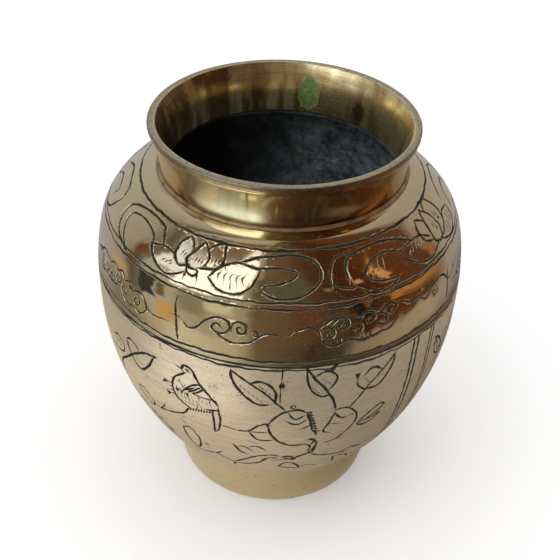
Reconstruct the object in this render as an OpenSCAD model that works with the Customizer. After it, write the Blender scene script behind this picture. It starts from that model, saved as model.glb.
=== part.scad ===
// Brass planter pot: a round-bellied jar with a flared neck and a low foot.
// It is made of four cast and turned rings and one disc, joined by brazing and soldering.
// Units are millimetres, +Z is up, and the origin is the centre of the foot's underside.

/* [Belly] */
// Diameter over the widest part of the belly
belly_diameter = 145; // [143:0.5:147]
// Height of the lower edge of the upright band round the belly
band_bottom = 95; // [94:0.5:96]
// Height of the upper edge of that band
band_top = 100; // [99:0.5:101]
// Thickness of the cast wall
wall = 3; // [2.6:0.1:3.4]

/* [Curves of the body] */
// Radius of the long curve from the band down to the foot
flank_radius = 118; // [114:1:122]
// Height at which that curve ends in an edge over the foot
edge_height = 31; // [30.5:0.5:32]
// Radius of the curve from the band up towards the shoulder
haunch_radius = 106; // [102:1:110]
// Slope at which the haunch passes into the shoulder, in degrees from upright
haunch_slope = 12.5; // [12:0.5:13]
// Radius of the tight curve of the shoulder
shoulder_radius = 26; // [25:0.5:27]
// Slope at which the shoulder straightens, in degrees from upright
shoulder_slope = 51; // [50:0.5:52]
// Length of the straight slope above the shoulder
slope_length = 9.3; // [8.8:0.1:9.8]
// Radius of the crown between the straight slope and the neck
crown_radius = 16; // [15:0.5:17]
// Slope at which the crown meets the neck's seat, in degrees from upright
crown_slope = 76; // [75:0.5:77]

/* [Neck] */
// Height of the whole pot
overall_height = 165; // [163:0.5:167]
// Diameter over the lip
lip_diameter = 100; // [99:0.5:101]
// Width of the lip's top, seen from above
lip_width = 2.9; // [2.5:0.1:3.3]
// Height of the lip's outer edge
lip_depth = 2.4; // [2:0.1:3]
// Diameter of the bore at the throat
throat_diameter = 86; // [85:0.5:86.5]
// Outer diameter at the foot of the neck
neck_diameter = 92.8; // [92.4:0.1:93.2]
// Length of the straight bore at the throat
throat_length = 3; // [2:0.5:4]
// Depth of the spigot that centres the neck in the crown
spigot_depth = 0.6; // [0.4:0.1:1]
// Thickness of that spigot's wall
spigot_wall = 1; // [0.8:0.1:1.4]

/* [Foot] */
// Outer diameter where the foot stands on the table
foot_diameter = 85.8; // [85:0.2:86.6]
// Outer diameter at the top of the foot
foot_top_diameter = 94; // [93:0.5:95]
// Height of the foot
foot_height = 28; // [27:0.5:29]
// Thickness of the base disc
disc_thickness = 2; // [1.5:0.1:2.5]
// Overlap of the base disc under the belly's bottom flange
disc_overlap = 3.4; // [3:0.1:4]

/* [Ring grooves] */
// Width of a turned ring groove
groove_width = 1.1; // [0.8:0.1:1.4]
// Height of the lower of the two shoulder rings
shoulder_ring_height = 129.4; // [128.5:0.1:130.5]
// Distance between the two shoulder rings
shoulder_ring_gap = 1.7; // [1.5:0.1:2]
// Height of the lower girdle ring, which runs along the seam of the body
girdle_height = 107.7; // [107:0.1:108.5]
// Distance between the two girdle rings
girdle_ring_gap = 2.5; // [2:0.1:3]

/* [Joints] */
// Height of the lap between the upper and lower body
lap_height = 4; // [3:0.5:5]
// Thickness of the brazing metal in the lap
braze_gap = 0.3; // [0.2:0.1:0.4]
// Leg of the brazed fillet round the neck
neck_fillet = 1; // [0.8:0.1:1.1]
// Leg of the brazed fillet round the foot
foot_fillet = 1.1; // [0.8:0.1:1.3]
// Leg of the soldered fillet under the base disc
disc_fillet = 1.4; // [1:0.1:1.8]

/* [Hidden] */
$fn = 96;

brass = "#c9a95a";
polished_brass = "#d8b765";
satin_brass = "#bfa680";
foot_brass = "#cdbd85";
braze_metal = "#a8823c";
solder_metal = "#9a9a90";

// Centres of the body's arcs, each as [radius from the axis, height].
belly_radius = belly_diameter / 2;
flank_centre = [belly_radius - flank_radius, band_bottom];
haunch_centre = [belly_radius - haunch_radius, band_top];
shoulder_centre = haunch_centre + (haunch_radius - shoulder_radius) * direction(haunch_slope);
slope_start = shoulder_centre + shoulder_radius * direction(shoulder_slope);
slope_end = slope_start + slope_length * direction(shoulder_slope + 90);
crown_centre = slope_end - crown_radius * direction(shoulder_slope);
flank_slope = asin((band_bottom - edge_height) / flank_radius);

// The neck's seat is the flat ring on top of the crown.
seat = crown_centre + crown_radius * direction(crown_slope);
throat_radius = throat_diameter / 2;
neck_radius = neck_diameter / 2;
spigot_radius = throat_radius + spigot_wall;
lip_radius = lip_diameter / 2;
mouth_radius = lip_radius - lip_width;
lip_bottom = overall_height - lip_depth;
lip_step = 0.8;
lip_bevel = 0.5;

// The flat land under the belly carries the foot; the flange opening is closed by the disc.
edge_point = flank_centre + flank_radius * direction(-flank_slope);
edge_round = 0.8;
foot_radius = foot_diameter / 2;
foot_top_radius = foot_top_diameter / 2;
foot_socket_radius = foot_top_radius - 3.6;
foot_socket_depth = 5;
foot_sole_width = 1.8;
foot_round = 0.9;
flange_radius = foot_socket_radius - disc_overlap;
land_radius = foot_top_radius + 1.5;
flange_top = foot_height + wall;

// A groove is cut by a ring whose section is a square standing on its corner.
groove_reach = groove_width / 2;

// Unit vector in the radius-height plane, at an angle above the horizontal.
function direction(angle) = [cos(angle), sin(angle)];

// Points along an arc from one angle to another, both in degrees.
function arc(centre, radius, from, to, steps) =
    [for (i = [0:steps]) centre + radius * direction(from + (to - from) * i / steps)];

// Radius of a circle at a given height, on the side away from the axis.
function radius_at(centre, radius, height) =
    centre.x + sqrt(pow(radius, 2) - pow(height - centre.y, 2));

// Body surface above the girdle, from the seam up to the crown, moved inwards by inset.
function upper_curve(inset, bottom) = let (
    start_slope = asin((bottom - haunch_centre.y) / (haunch_radius - inset))
) concat(
    arc(haunch_centre, haunch_radius - inset, start_slope, haunch_slope, 4),
    arc(shoulder_centre, shoulder_radius - inset, haunch_slope + 5, shoulder_slope, 6),
    arc(crown_centre, crown_radius - inset, shoulder_slope, crown_slope, 4)
);

// Body surface below the girdle, from the foot's edge up to the seam, moved inwards by inset.
function lower_curve(inset, top) = let (
    top_slope = asin((top - haunch_centre.y) / (haunch_radius - inset))
) concat(
    arc(flank_centre, flank_radius - inset, -flank_slope, 0, 9),
    arc(haunch_centre, haunch_radius - inset, 0, top_slope, 1)
);

function reversed(points) = [for (i = [len(points) - 1:-1:0]) points[i]];

// Turns a list of [radius, height] points about the pot's axis.
module turned(points) {
    rotate_extrude() polygon(points);
}

// Cutter for a ring groove whose bottom lies under a point of the surface.
module ring_cutter(radius, height) {
    turned([[radius - groove_reach, height], [radius, height - groove_reach],
            [radius + groove_reach, height], [radius, height + groove_reach]]);
}

// Flared neck with its lip, its straight throat and the spigot that centres it.
module neck_collar() {
    bore_bottom = seat.y - spigot_depth;
    flare_bottom = bore_bottom + throat_length;
    flare_height = overall_height - flare_bottom;
    flare_reach = mouth_radius - throat_radius;
    inner_radius = (pow(flare_height, 2) + pow(flare_reach, 2)) / (2 * flare_reach);
    inner_angle = asin(flare_height / inner_radius);

    wall_bottom = seat.y + neck_fillet + 0.2;
    wall_height = lip_bottom - wall_bottom;
    wall_reach = lip_radius - lip_step - neck_radius;
    outer_radius = (pow(wall_height, 2) + pow(wall_reach, 2)) / (2 * wall_reach);
    outer_angle = asin(wall_height / outer_radius);

    color(polished_brass) turned(concat(
        [[throat_radius, bore_bottom], [spigot_radius, bore_bottom],
         [spigot_radius, seat.y], [neck_radius, seat.y]],
        arc([neck_radius + outer_radius, wall_bottom], outer_radius, 180, 180 - outer_angle, 8),
        [[lip_radius, lip_bottom + lip_step], [lip_radius, overall_height - lip_bevel],
         [lip_radius - lip_bevel, overall_height]],
        arc([throat_radius + inner_radius, flare_bottom], inner_radius, 180 - inner_angle, 180, 8)
    ));
}

// Brazed bead in the corner between the neck and the crown.
module neck_braze() {
    corner = [neck_radius, seat.y];
    color(braze_metal) turned(concat([corner], arc(corner, neck_fillet, 0, 90, 5)));
}

// Shoulder and cloud band in one casting, with the lap's spigot at its lower edge.
module upper_shell() {
    lap_inner = radius_at(haunch_centre, haunch_radius - wall, girdle_height);
    lap_outer = lap_inner + wall / 2 - braze_gap / 2;
    inside = upper_curve(wall, girdle_height);
    crown_hole = [spigot_radius, crown_centre.y + sqrt(pow(crown_radius - wall, 2)
                                                       - pow(spigot_radius - crown_centre.x, 2))];
    inside_below_hole = [for (point = inside) if (point.x > spigot_radius + 0.2) point];
    color(brass) difference() {
        turned(concat(
            upper_curve(0, girdle_height),
            [[spigot_radius, seat.y], crown_hole],
            reversed(inside_below_hole),
            [[lap_inner, girdle_height - lap_height], [lap_outer, girdle_height - lap_height],
             [lap_outer, girdle_height]]
        ));
        ring_cutter(slope_end.x, slope_end.y);
        for (height = [shoulder_ring_height, shoulder_ring_height + shoulder_ring_gap])
            ring_cutter(radius_at(shoulder_centre, shoulder_radius, height), height);
        for (height = [girdle_height, girdle_height + girdle_ring_gap])
            ring_cutter(radius_at(haunch_centre, haunch_radius, height), height);
    }
}

// Sleeve of brazing metal that fills the lap between the two halves of the body.
module girdle_braze() {
    lap_inner = radius_at(haunch_centre, haunch_radius - wall, girdle_height);
    braze_inner = lap_inner + wall / 2 - braze_gap / 2;
    color(braze_metal) turned([
        [braze_inner, girdle_height - lap_height],
        [braze_inner + braze_gap, girdle_height - lap_height],
        [braze_inner + braze_gap, girdle_height],
        [braze_inner, girdle_height]
    ]);
}

// Belly from the girdle down to the flange over the foot, with the lap's socket on top.
module lower_shell() {
    lap_inner = radius_at(haunch_centre, haunch_radius - wall, girdle_height);
    socket_radius = lap_inner + wall / 2 + braze_gap / 2;
    ledge = girdle_height - lap_height;
    flange_inside = flank_centre + (flank_radius - wall) * direction(-flank_slope);
    color(satin_brass) difference() {
        turned(concat(
            [[flange_radius, foot_height], [land_radius, foot_height],
             edge_point + edge_round * direction(-flank_slope - 110)],
            lower_curve(0, girdle_height),
            [[socket_radius, girdle_height], [socket_radius, ledge], [lap_inner, ledge]],
            reversed(lower_curve(wall, ledge)),
            [[flange_inside.x - 5, flange_top], [flange_radius, flange_top]]
        ));
        ring_cutter(radius_at(haunch_centre, haunch_radius, girdle_height), girdle_height);
    }
}

// Brazed fillet in the corner between the land under the belly and the foot.
module foot_braze() {
    side_drop = foot_fillet * (foot_top_radius - foot_radius) / (foot_height - foot_round);
    color(braze_metal) turned([
        [foot_top_radius, foot_height],
        [foot_top_radius - side_drop, foot_height - foot_fillet],
        [foot_top_radius + foot_fillet * 0.3, foot_height - foot_fillet * 0.35],
        [foot_top_radius + foot_fillet, foot_height]
    ]);
}

// Tapered foot with a socket at the top for the base disc and a narrow flat sole.
module foot_ring() {
    sole_outer = foot_radius - foot_round;
    sole_inner = sole_outer - foot_sole_width;
    color(foot_brass) turned(concat(
        [[sole_inner, 0]],
        arc([sole_outer, foot_round], foot_round, -90, 0, 4),
        [[foot_top_radius, foot_height], [foot_socket_radius, foot_height],
         [foot_socket_radius, foot_height - foot_socket_depth],
         [sole_inner - 0.3, foot_round]]
    ));
}

// Disc that closes the belly from below and sits in the foot's socket.
module base_disc() {
    color(brass) translate([0, 0, foot_height - disc_thickness])
        cylinder(h = disc_thickness, r = foot_socket_radius);
}

// Soldered fillet between the base disc and the foot's socket.
module base_solder() {
    disc_bottom = foot_height - disc_thickness;
    color(solder_metal) turned([
        [foot_socket_radius, disc_bottom],
        [foot_socket_radius - disc_fillet, disc_bottom],
        [foot_socket_radius - disc_fillet * 0.35, disc_bottom - disc_fillet * 0.35],
        [foot_socket_radius, disc_bottom - disc_fillet]
    ]);
}

neck_collar();
neck_braze();
upper_shell();
girdle_braze();
lower_shell();
foot_braze();
foot_ring();
base_disc();
base_solder();
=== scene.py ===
"""Looks of the engraved brass planter pot: skins with cut ornament, finishes, camera and studio."""
import logging
import math
from dataclasses import dataclass, field
from enum import Enum
from random import Random
from typing import Callable, Iterable, Sequence

import bmesh
import bpy
import numpy as np
from mathutils import Euler, Matrix, Vector
from mathutils.geometry import delaunay_2d_cdt
from mathutils.kdtree import KDTree


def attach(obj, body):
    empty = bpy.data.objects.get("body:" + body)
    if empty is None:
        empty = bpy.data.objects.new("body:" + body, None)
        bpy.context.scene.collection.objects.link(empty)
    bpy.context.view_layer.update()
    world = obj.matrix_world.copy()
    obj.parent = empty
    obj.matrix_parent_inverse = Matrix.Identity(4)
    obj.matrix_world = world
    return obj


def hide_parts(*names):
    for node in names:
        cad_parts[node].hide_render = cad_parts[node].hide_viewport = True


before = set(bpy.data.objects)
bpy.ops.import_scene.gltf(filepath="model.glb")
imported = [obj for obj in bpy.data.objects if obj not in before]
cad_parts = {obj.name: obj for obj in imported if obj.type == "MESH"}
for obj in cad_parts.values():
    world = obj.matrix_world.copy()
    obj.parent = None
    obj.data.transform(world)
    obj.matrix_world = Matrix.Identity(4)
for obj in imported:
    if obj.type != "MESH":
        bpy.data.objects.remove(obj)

log = logging.getLogger("planter")

MM = 0.001
BODY = "root"
SEGMENTS = 160
FULL_TURN = 2 * math.pi

Point = tuple[float, float]


# ---------------------------------------------------------------- the pot's own shape

def direction(degrees: float) -> np.ndarray:
    """Unit vector in the radius-height plane, at an angle above the horizontal."""
    return np.array([math.cos(math.radians(degrees)), math.sin(math.radians(degrees))])


def arc(centre: np.ndarray, radius: float, start: float, end: float, steps: int) -> list[np.ndarray]:
    """Points along an arc.

    Args:
        centre: Centre of the arc as (radius from the axis, height), in millimetres.
        radius: Radius of the arc.
        start: Angle of the first point in degrees.
        end: Angle of the last point in degrees.
        steps: Number of stretches between the points.

    Returns:
        The points, from start to end.
    """
    return [centre + radius * direction(start + (end - start) * i / steps) for i in range(steps + 1)]


@dataclass(frozen=True)
class BodyShape:
    """Arcs of the body's outer surface, in millimetres, as the castings are turned."""

    belly_radius: float = 72.5
    band_bottom: float = 95.0
    band_top: float = 100.0
    wall: float = 3.0
    flank_radius: float = 118.0
    edge_height: float = 31.0
    haunch_radius: float = 106.0
    haunch_slope: float = 12.5
    shoulder_radius: float = 26.0
    shoulder_slope: float = 51.0
    slope_length: float = 9.3
    crown_radius: float = 16.0
    crown_slope: float = 76.0
    seam_height: float = 107.7

    @property
    def flank_centre(self) -> np.ndarray:
        """Centre of the long curve below the band."""
        return np.array([self.belly_radius - self.flank_radius, self.band_bottom])

    @property
    def haunch_centre(self) -> np.ndarray:
        """Centre of the curve above the band."""
        return np.array([self.belly_radius - self.haunch_radius, self.band_top])

    @property
    def shoulder_centre(self) -> np.ndarray:
        """Centre of the tight curve of the shoulder."""
        reach = self.haunch_radius - self.shoulder_radius
        return self.haunch_centre + reach * direction(self.haunch_slope)

    @property
    def slope_end(self) -> np.ndarray:
        """Upper end of the straight slope, where the collar's ring is cut."""
        start = self.shoulder_centre + self.shoulder_radius * direction(self.shoulder_slope)
        return start + self.slope_length * direction(self.shoulder_slope + 90)

    @property
    def crown_centre(self) -> np.ndarray:
        """Centre of the curve under the neck."""
        return self.slope_end - self.crown_radius * direction(self.shoulder_slope)

    @property
    def flank_slope(self) -> float:
        """How far the flank leans in where it ends over the foot, in degrees."""
        return math.degrees(math.asin((self.band_bottom - self.edge_height) / self.flank_radius))

    def surface(self, inset: float = 0.0) -> np.ndarray:
        """Points of the body from the foot's edge to the crown.

        Args:
            inset: How far inside the outer surface the points lie.

        Returns:
            An array of (radius, height) rows.
        """
        points = arc(self.flank_centre, self.flank_radius - inset, -self.flank_slope, 0, 48)
        points += arc(self.haunch_centre, self.haunch_radius - inset, 0, self.haunch_slope, 24)
        points += arc(self.shoulder_centre, self.shoulder_radius - inset,
                      self.haunch_slope, self.shoulder_slope, 24)[1:]
        points += arc(self.crown_centre, self.crown_radius - inset,
                      self.shoulder_slope, self.crown_slope, 12)
        return np.array(points)


class Unrolled:
    """The body's skin laid flat without distorting angles.

    Across is the turn about the axis and up is the way along the profile, both scaled so that
    one unit is a millimetre on the belly's widest circle. At a smaller radius a unit covers less.
    """

    def __init__(self, shape: BodyShape) -> None:
        """Measures the profile of the given body."""
        points = shape.surface()
        steps = np.hypot(*np.diff(points, axis=0).T)
        keep = np.r_[True, steps > 1e-6]
        points = points[keep]
        steps = np.hypot(*np.diff(points, axis=0).T)
        middle = (points[1:, 0] + points[:-1, 0]) / 2
        self.reach = shape.belly_radius
        self.radius = points[:, 0]
        self.height = points[:, 1]
        along = np.r_[0, np.cumsum(steps)]
        flat = np.r_[0, np.cumsum(steps * self.reach / middle)]
        self.along = along - np.interp(shape.seam_height, self.height, along)
        self.flat = flat - np.interp(shape.seam_height, self.height, flat)
        tangent = np.gradient(points, along, axis=0)
        tangent /= np.hypot(*tangent.T)[:, None]
        self.normal = np.stack([tangent[:, 1], -tangent[:, 0]], axis=1)

    @property
    def bottom(self) -> float:
        """Flat height of the edge over the foot."""
        return float(self.flat[0])

    @property
    def top(self) -> float:
        """Flat height of the crown's upper edge."""
        return float(self.flat[-1])

    def rise(self, along: float) -> float:
        """Flat height of a place given in millimetres along the profile, counted from the seam."""
        return float(np.interp(along, self.along, self.flat))

    def radius_along(self, along: float) -> float:
        """Radius of the body at a place along the profile."""
        return float(np.interp(along, self.along, self.radius))

    def scale(self, flat: np.ndarray | float) -> np.ndarray | float:
        """Real millimetres per flat unit at a flat height."""
        return np.interp(flat, self.flat, self.radius) / self.reach

    def along_height(self, height: float) -> float:
        """Distance along the profile, from the seam, of a height above the table."""
        return float(np.interp(height, self.height, self.along))

    def at(self, flat: np.ndarray) -> tuple[np.ndarray, np.ndarray, np.ndarray, np.ndarray]:
        """Radius, height and outward normal (radial and upward part) at flat heights."""
        return (np.interp(flat, self.flat, self.radius), np.interp(flat, self.flat, self.height),
                np.interp(flat, self.flat, self.normal[:, 0]), np.interp(flat, self.flat, self.normal[:, 1]))


# ---------------------------------------------------------------- the engraver's drawing

class Tool(Enum):
    """Gravers, as (width of the cut, depth of the cut) in millimetres."""

    GOUGE = (1.45, 0.50)
    BROAD = (1.2, 0.44)
    LINE = (0.98, 0.38)
    FINE = (0.70, 0.28)
    HAIR = (0.50, 0.20)


@dataclass(frozen=True)
class Stroke:
    """One cut of the graver through a few points, in millimetres across and up."""

    points: tuple[Point, ...]
    tool: Tool = Tool.LINE
    straight: bool = False


def cut(*points: Point, tool: Tool = Tool.LINE, straight: bool = False) -> Stroke:
    """Shorthand for a stroke through the given points."""
    return Stroke(tuple(points), tool, straight)


def hatch(start: Point, end: Point, step: Point, count: int, tool: Tool = Tool.HAIR) -> list[Stroke]:
    """A row of short parallel cuts.

    Args:
        start: First end of the first cut.
        end: Second end of the first cut.
        step: Offset from one cut to the next.
        count: Number of cuts.
        tool: The graver.

    Returns:
        The cuts in order.
    """
    return [cut((start[0] + step[0] * i, start[1] + step[1] * i),
                (end[0] + step[0] * i, end[1] + step[1] * i), tool=tool, straight=True)
            for i in range(count)]


def leaf(tip: Point, base: Point, left: float, right: float, ribs: int = 0,
         tool: Tool = Tool.LINE) -> list[Stroke]:
    """A pointed leaf with a midrib.

    Args:
        tip: The leaf's point.
        base: Where the leaf leaves its stem.
        left: How far the left edge bulges from the midrib, seen from the base.
        right: How far the right edge bulges.
        ribs: Number of short ribs on each side.
        tool: The graver of the outline.

    Returns:
        Midrib, two edges and ribs.
    """
    along = np.subtract(tip, base)
    across = np.array([-along[1], along[0]]) / np.hypot(*along)

    def spot(way: float, side: float) -> Point:
        """A place part of the way from base to tip, off to one side."""
        place = np.add(base, along * way) + across * side
        return float(place[0]), float(place[1])

    strokes = [cut(spot(-0.06, 0), spot(0.5, 0.04 * left), spot(0.96, 0), tool=Tool.FINE)]
    for bulge in (left, -right):
        strokes.append(cut(base, spot(0.22, bulge * 0.8), spot(0.5, bulge), spot(0.8, bulge * 0.6), tip,
                           tool=tool))
    for i in range(ribs):
        way = 0.25 + 0.5 * i / max(1, ribs - 1)
        for bulge in (left, -right):
            strokes.append(cut(spot(way, bulge * 0.15), spot(way + 0.12, bulge * 0.6), tool=Tool.HAIR,
                               straight=True))
    return strokes


def curl(centre: Point, size: float, start: float, turns: float, tool: Tool = Tool.LINE) -> Stroke:
    """A spiral that winds in towards its centre.

    Args:
        centre: Eye of the spiral.
        size: Radius of its outer end.
        start: Angle of the outer end in degrees.
        turns: How many turns it winds; negative winds clockwise.
        tool: The graver.

    Returns:
        The stroke.
    """
    steps = max(6, int(abs(turns) * 9))
    points = []
    for i in range(steps + 1):
        reach = size * (1 - 0.85 * i / steps)
        angle = math.radians(start + 360 * turns * i / steps)
        points.append((centre[0] + reach * math.cos(angle), centre[1] + reach * math.sin(angle)))
    return cut(*points, tool=tool)


@dataclass(frozen=True)
class Motif:
    """A named figure of the ornament, drawn about its own middle."""

    name: str
    strokes: tuple[Stroke, ...]


@dataclass(frozen=True)
class Placing:
    """Where a motif is cut: its turn from the front in degrees and its place above the seam."""

    motif: Motif
    turn: float
    along: float
    flip: bool = False
    scale: float = 1.0


def lotus_open() -> Motif:
    """The full lotus at the front left: four pointed petals over a small calyx."""
    petals = [
        cut((-19.5, 1), (-14, 2.6), (-8, 2)),
        cut((-19.5, 1), (-17.5, -1.5), (-13.5, -4), (-8, -5.5), (-1.5, -2)),
        cut((-5.5, 10), (-8, 7), (-8.5, 2.5), (-5, -0.8), (-2, 0), tool=Tool.BROAD),
        cut((-5.5, 10), (-3.2, 8), (-2, 5.5)),
        cut((1, 10), (-1, 6), (-3, 2.5), (-1.5, 0), (2, -0.5), tool=Tool.BROAD),
        cut((1, 10), (3.5, 7.5), (5, 4.5), (4, 1)),
        cut((9.5, 11), (6, 10), (3.5, 7.5)),
        cut((9.5, 11), (10.5, 6), (9.5, 2.5), (5.5, 1), (2.5, 0.5), tool=Tool.BROAD),
    ]
    calyx = [
        cut((-2, 0), (-1, -2), (1.2, -2.8), (2.6, -1.4), (2, 0)),
        cut((-1.2, -2.2), (-1.6, -4), straight=True),
        cut((2.6, -1.2), (3.2, -3.2), straight=True),
    ]
    veins = hatch((-12, -2), (-10.5, -1), (1.6, -0.1), 3)
    veins += hatch((-5.6, 3), (-5.2, 4.6), (1.0, -0.6), 3)
    veins += hatch((0.4, 2.4), (0.6, 3.8), (1.2, -0.2), 3)
    veins += hatch((6.2, 3.4), (6.4, 5.0), (1.3, 0.2), 3)
    return Motif("lotus_open", tuple(petals + calyx + veins))


def lotus_turned() -> Motif:
    """The second lotus, leaning to the left, with two long leaves below it."""
    petals = [
        cut((-3, 9), (-0.5, 8), (2, 6)),
        cut((-3, 9), (-5, 5), (-4.5, 1), (-0.5, -1), tool=Tool.BROAD),
        cut((4, 10.5), (2, 7), (1, 2.5), (0.5, -1.5), (2.5, -3), tool=Tool.BROAD),
        cut((4, 10.5), (7.5, 6), (8, 1), (5, -3), (2.5, -3)),
        cut((12, 12), (8, 10.5), (6.5, 8.5)),
        cut((12, 12), (15, 6), (13, 0.5), (9, -2), (6, -3), tool=Tool.BROAD),
    ]
    leaves = [
        cut((-19.5, 3), (-13, 4), (-5.5, 4), (-1, 1)),
        cut((-18.5, 1), (-14, -2.8), (-6.5, -5.5), (0, -3.5), (3, -2.5)),
        cut((22.5, 1), (20, -3.5), (14, -6), (8, -5), (4, -2.5)),
        cut((22.5, 1), (17, 2), (13.5, 1)),
    ]
    veins = hatch((-15, 0.5), (-14, 1.8), (1.8, 0.1), 6)
    veins += hatch((9, -4), (9.8, -2.4), (2.2, 0.2), 5)
    veins += hatch((4.2, 2), (4.6, 3.6), (1.4, 0), 2) + hatch((9.6, 3.4), (10.2, 5), (1.5, 0), 2)
    return Motif("lotus_turned", tuple(petals + leaves + veins))


def leaf_pad() -> Motif:
    """A broad leaf under the first lotus, with a row of short cuts across it."""
    outline = [
        cut((-8, -2), (-3.5, -5), (1.5, -5.6), (6.5, -3), (9.5, 3.5)),
        cut((-8, -2), (-4.5, 2.5), (-1, 4.5), (3, 5), (9.5, 3.5)),
    ]
    ribs = [cut((-3.9 + 2.1 * i, 0.9), (-4.7 + 2.1 * i, -0.3), (-4.3 + 2.1 * i, -1.7), tool=Tool.HAIR)
            for i in range(5)]
    return Motif("leaf_pad", tuple(outline + ribs))


def leaf_rolled() -> Motif:
    """A leaf whose edge rolls over, at the front of the shoulder."""
    return Motif("leaf_rolled", (
        cut((-18.5, 2.5), (-11.5, 5), (-4, 6), (2, 6), (7.5, 3.5), (9, -1), (6.5, -5), (1.5, -8),
            (-5.5, -8.7), (-10.5, -6.5), tool=Tool.BROAD),
        cut((-7, -4.5), (-1.5, -2.5), (1, 0.2), (-4, 1.6), (-12, 1.2), (-16, 1.6)),
        cut((-10.5, -6.5), (-9, -4.5), (-6, -4.2), tool=Tool.FINE),
    ))


def ribbon() -> Motif:
    """Two bands that rise side by side and run off along the collar."""
    return Motif("ribbon", (
        cut((-7, -4.5), (-6.8, 0), (-4, 4.5), (1.5, 6)),
        cut((-1, -4), (-1.2, 0.5), (2, 4.6), (11, 6), (18, 5.5), (25, 3), (29, 0.5), tool=Tool.BROAD),
        cut((-7, -4.5), (-2.5, -6.2), (1, -6.6)),
    ))


def scroll() -> Motif:
    """A loop with a leaf hanging below it."""
    return Motif("scroll", (
        cut((10, 3.5), (3.5, 5), (-3, 3.5), (-6, -1), (-1, -4), (6, -4.5)),
        cut((-10, -4), (-5, -7), (1.5, -7.2), (6, -4.5)),
        *hatch((-3.6, -0.8), (-2.6, 0.8), (2.2, 0), 3),
    ))


def arch() -> Motif:
    """A double arch with an open foot."""
    return Motif("arch", (
        cut((1.5, -8), (-7.5, -5.5), (-11, -2.5), (-13, 1), (-11.5, 5.5), (-1, 8.5), (9.5, 8), (12, 6),
            (15, 2), tool=Tool.BROAD),
        cut((0.5, -8), (-5, -4), (-8.5, 1), (-7, 4), (1, 5.2), (8.5, 3), (10.5, 0), (13.5, -3), (17, -5)),
    ))


def scroll_tail() -> Motif:
    """A long drop shape that leans along the shoulder."""
    return Motif("scroll_tail", (
        cut((-16, 3), (-7.5, 7.2), (5, 6.5), (9.5, 3.5), (9.5, -1), (6, -5.5), (0, -7), (-8, -5.5),
            tool=Tool.BROAD),
        cut((-14, -3), (-8, 1.6), (2, 1), (1.5, -2.5)),
    ))


def cloud_chain() -> Motif:
    """A running cloud that steps down and ends in a curled tip."""
    return Motif("cloud_chain", (
        cut((-23, -3.5), (-18, -1.5), (-13, 1.2), (-9, 1), (-5.5, 0)),
        curl((-8, -2.8), 2.6, 80, -1.1),
        cut((-5.5, 0), (-2, 2), (1, 1), (4, 1.8), (6.5, -0.5)),
        curl((1.5, -2), 2.8, 100, -1.2),
        cut((6.5, -0.5), (9, 0.6), (11, -2), (14.5, -0.5), (18, -1.5), (19.5, -5), (16.5, -8.5), (13.5, -8)),
        curl((14, -4.6), 2.4, 80, -1.1),
        cut((5.5, -6.5), (8, -8), (10.5, -8.5), (12.5, -8)),
        curl((-15, -3.8), 2.4, 60, -1.1, Tool.FINE),
        cut((-20, -6.5), (-14, -7.4), (-8, -6), (-3, -6.6), (2, -5)),
        curl((-11.5, -5.6), 2.3, 120, 1.1), curl((-3.4, -4.4), 2.5, 40, -1.2),
        curl((6.2, -4.2), 2.4, 60, -1.2),
        curl((9.8, -0.9), 2.0, 150, -1.0), cut((-19, -4), (-16.5, -1.2), (-13.5, -2.2), (-14.5, -4.4)),
        cut((19.5, -3.5), (22, -5.5), (25, -5.5), (28.5, -5), tool=Tool.FINE),
        cut((32.2, 3.8), (33, -3), (34.2, -10.8)),
    ))


def cloud_small() -> Motif:
    """A cloud of two curls over a long line."""
    return Motif("cloud_small", (
        cut((-15.5, -3.5), (-13.5, -5.2), (-10.5, -4), (-8, -0.8), (-3.5, 2), (0, 1.6), (1.4, -0.8),
            (-0.5, -3.4), (-3.5, -3.6), (-5, -1.8), (-3.4, -0.2), (-1.8, -1.2)),
        cut((-3, -4.2), (0, -5.8), (3.5, -6.6), (8.5, -5.5), (13, -2), (18.5, -2), tool=Tool.LINE),
        curl((5, -1), 3.3, 200, -1.4),
        curl((10, -2.2), 1.8, 160, -1.0, Tool.FINE),
        cut((-15.5, -3.5), (-18, -2.2), (-20.5, -2.6), tool=Tool.FINE),
    ))


def cloud_large() -> Motif:
    """A bank of curls with a tail at each end."""
    curls = [curl((-10.5, -1.5), 2.9, 150, -1.3), curl((-5.6, 1.4), 3.3, 170, -1.3),
             curl((-0.6, -1.4), 3.0, 140, -1.2), curl((4.4, 1.6), 3.2, 170, -1.2),
             curl((9.2, -0.6), 3.0, 130, -1.2), curl((13.6, 2.2), 2.6, 150, -1.2),
             curl((-7.6, -4.4), 2.0, 200, 1.0), curl((3.4, -4.2), 2.2, 200, 1.0),
             cut((-2.5, 4.6), (1, 3.4), (4.5, 5.2), (8, 3.8), (11, 5.2)),
             cut((-13, 1.4), (-10, 3.8), (-7, 4.4))]
    tails = [
        cut((-22, 0.5), (-18.5, 1.8), (-15, 1), (-13, -2.5)),
        cut((-13, -4), (-9, -6.4), (-3, -5), (2, -6.2), (8, -5), (13, -4.4), (16.5, -1.5)),
        cut((14, 2), (17, 3.6), (20, 2.6), (23, 1.2), (28, 2.6), tool=Tool.LINE),
        cut((17, -1), (21, -1.6), (25, 0), (28, 2.6), tool=Tool.FINE),
    ]
    return Motif("cloud_large", tuple(curls + tails))


def cloud_wisp() -> Motif:
    """A thin line of cloud between the larger ones."""
    return Motif("cloud_wisp", (
        cut((-9, 0), (-5, -1.8), (-1, 0.6), (4, 2), (8, 0.5), (10, -2)),
        curl((0.5, -2), 2.2, 60, -1.2, Tool.FINE),
        cut((10, -2), (13, -3), (16, -1.5), tool=Tool.FINE),
    ))


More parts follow.
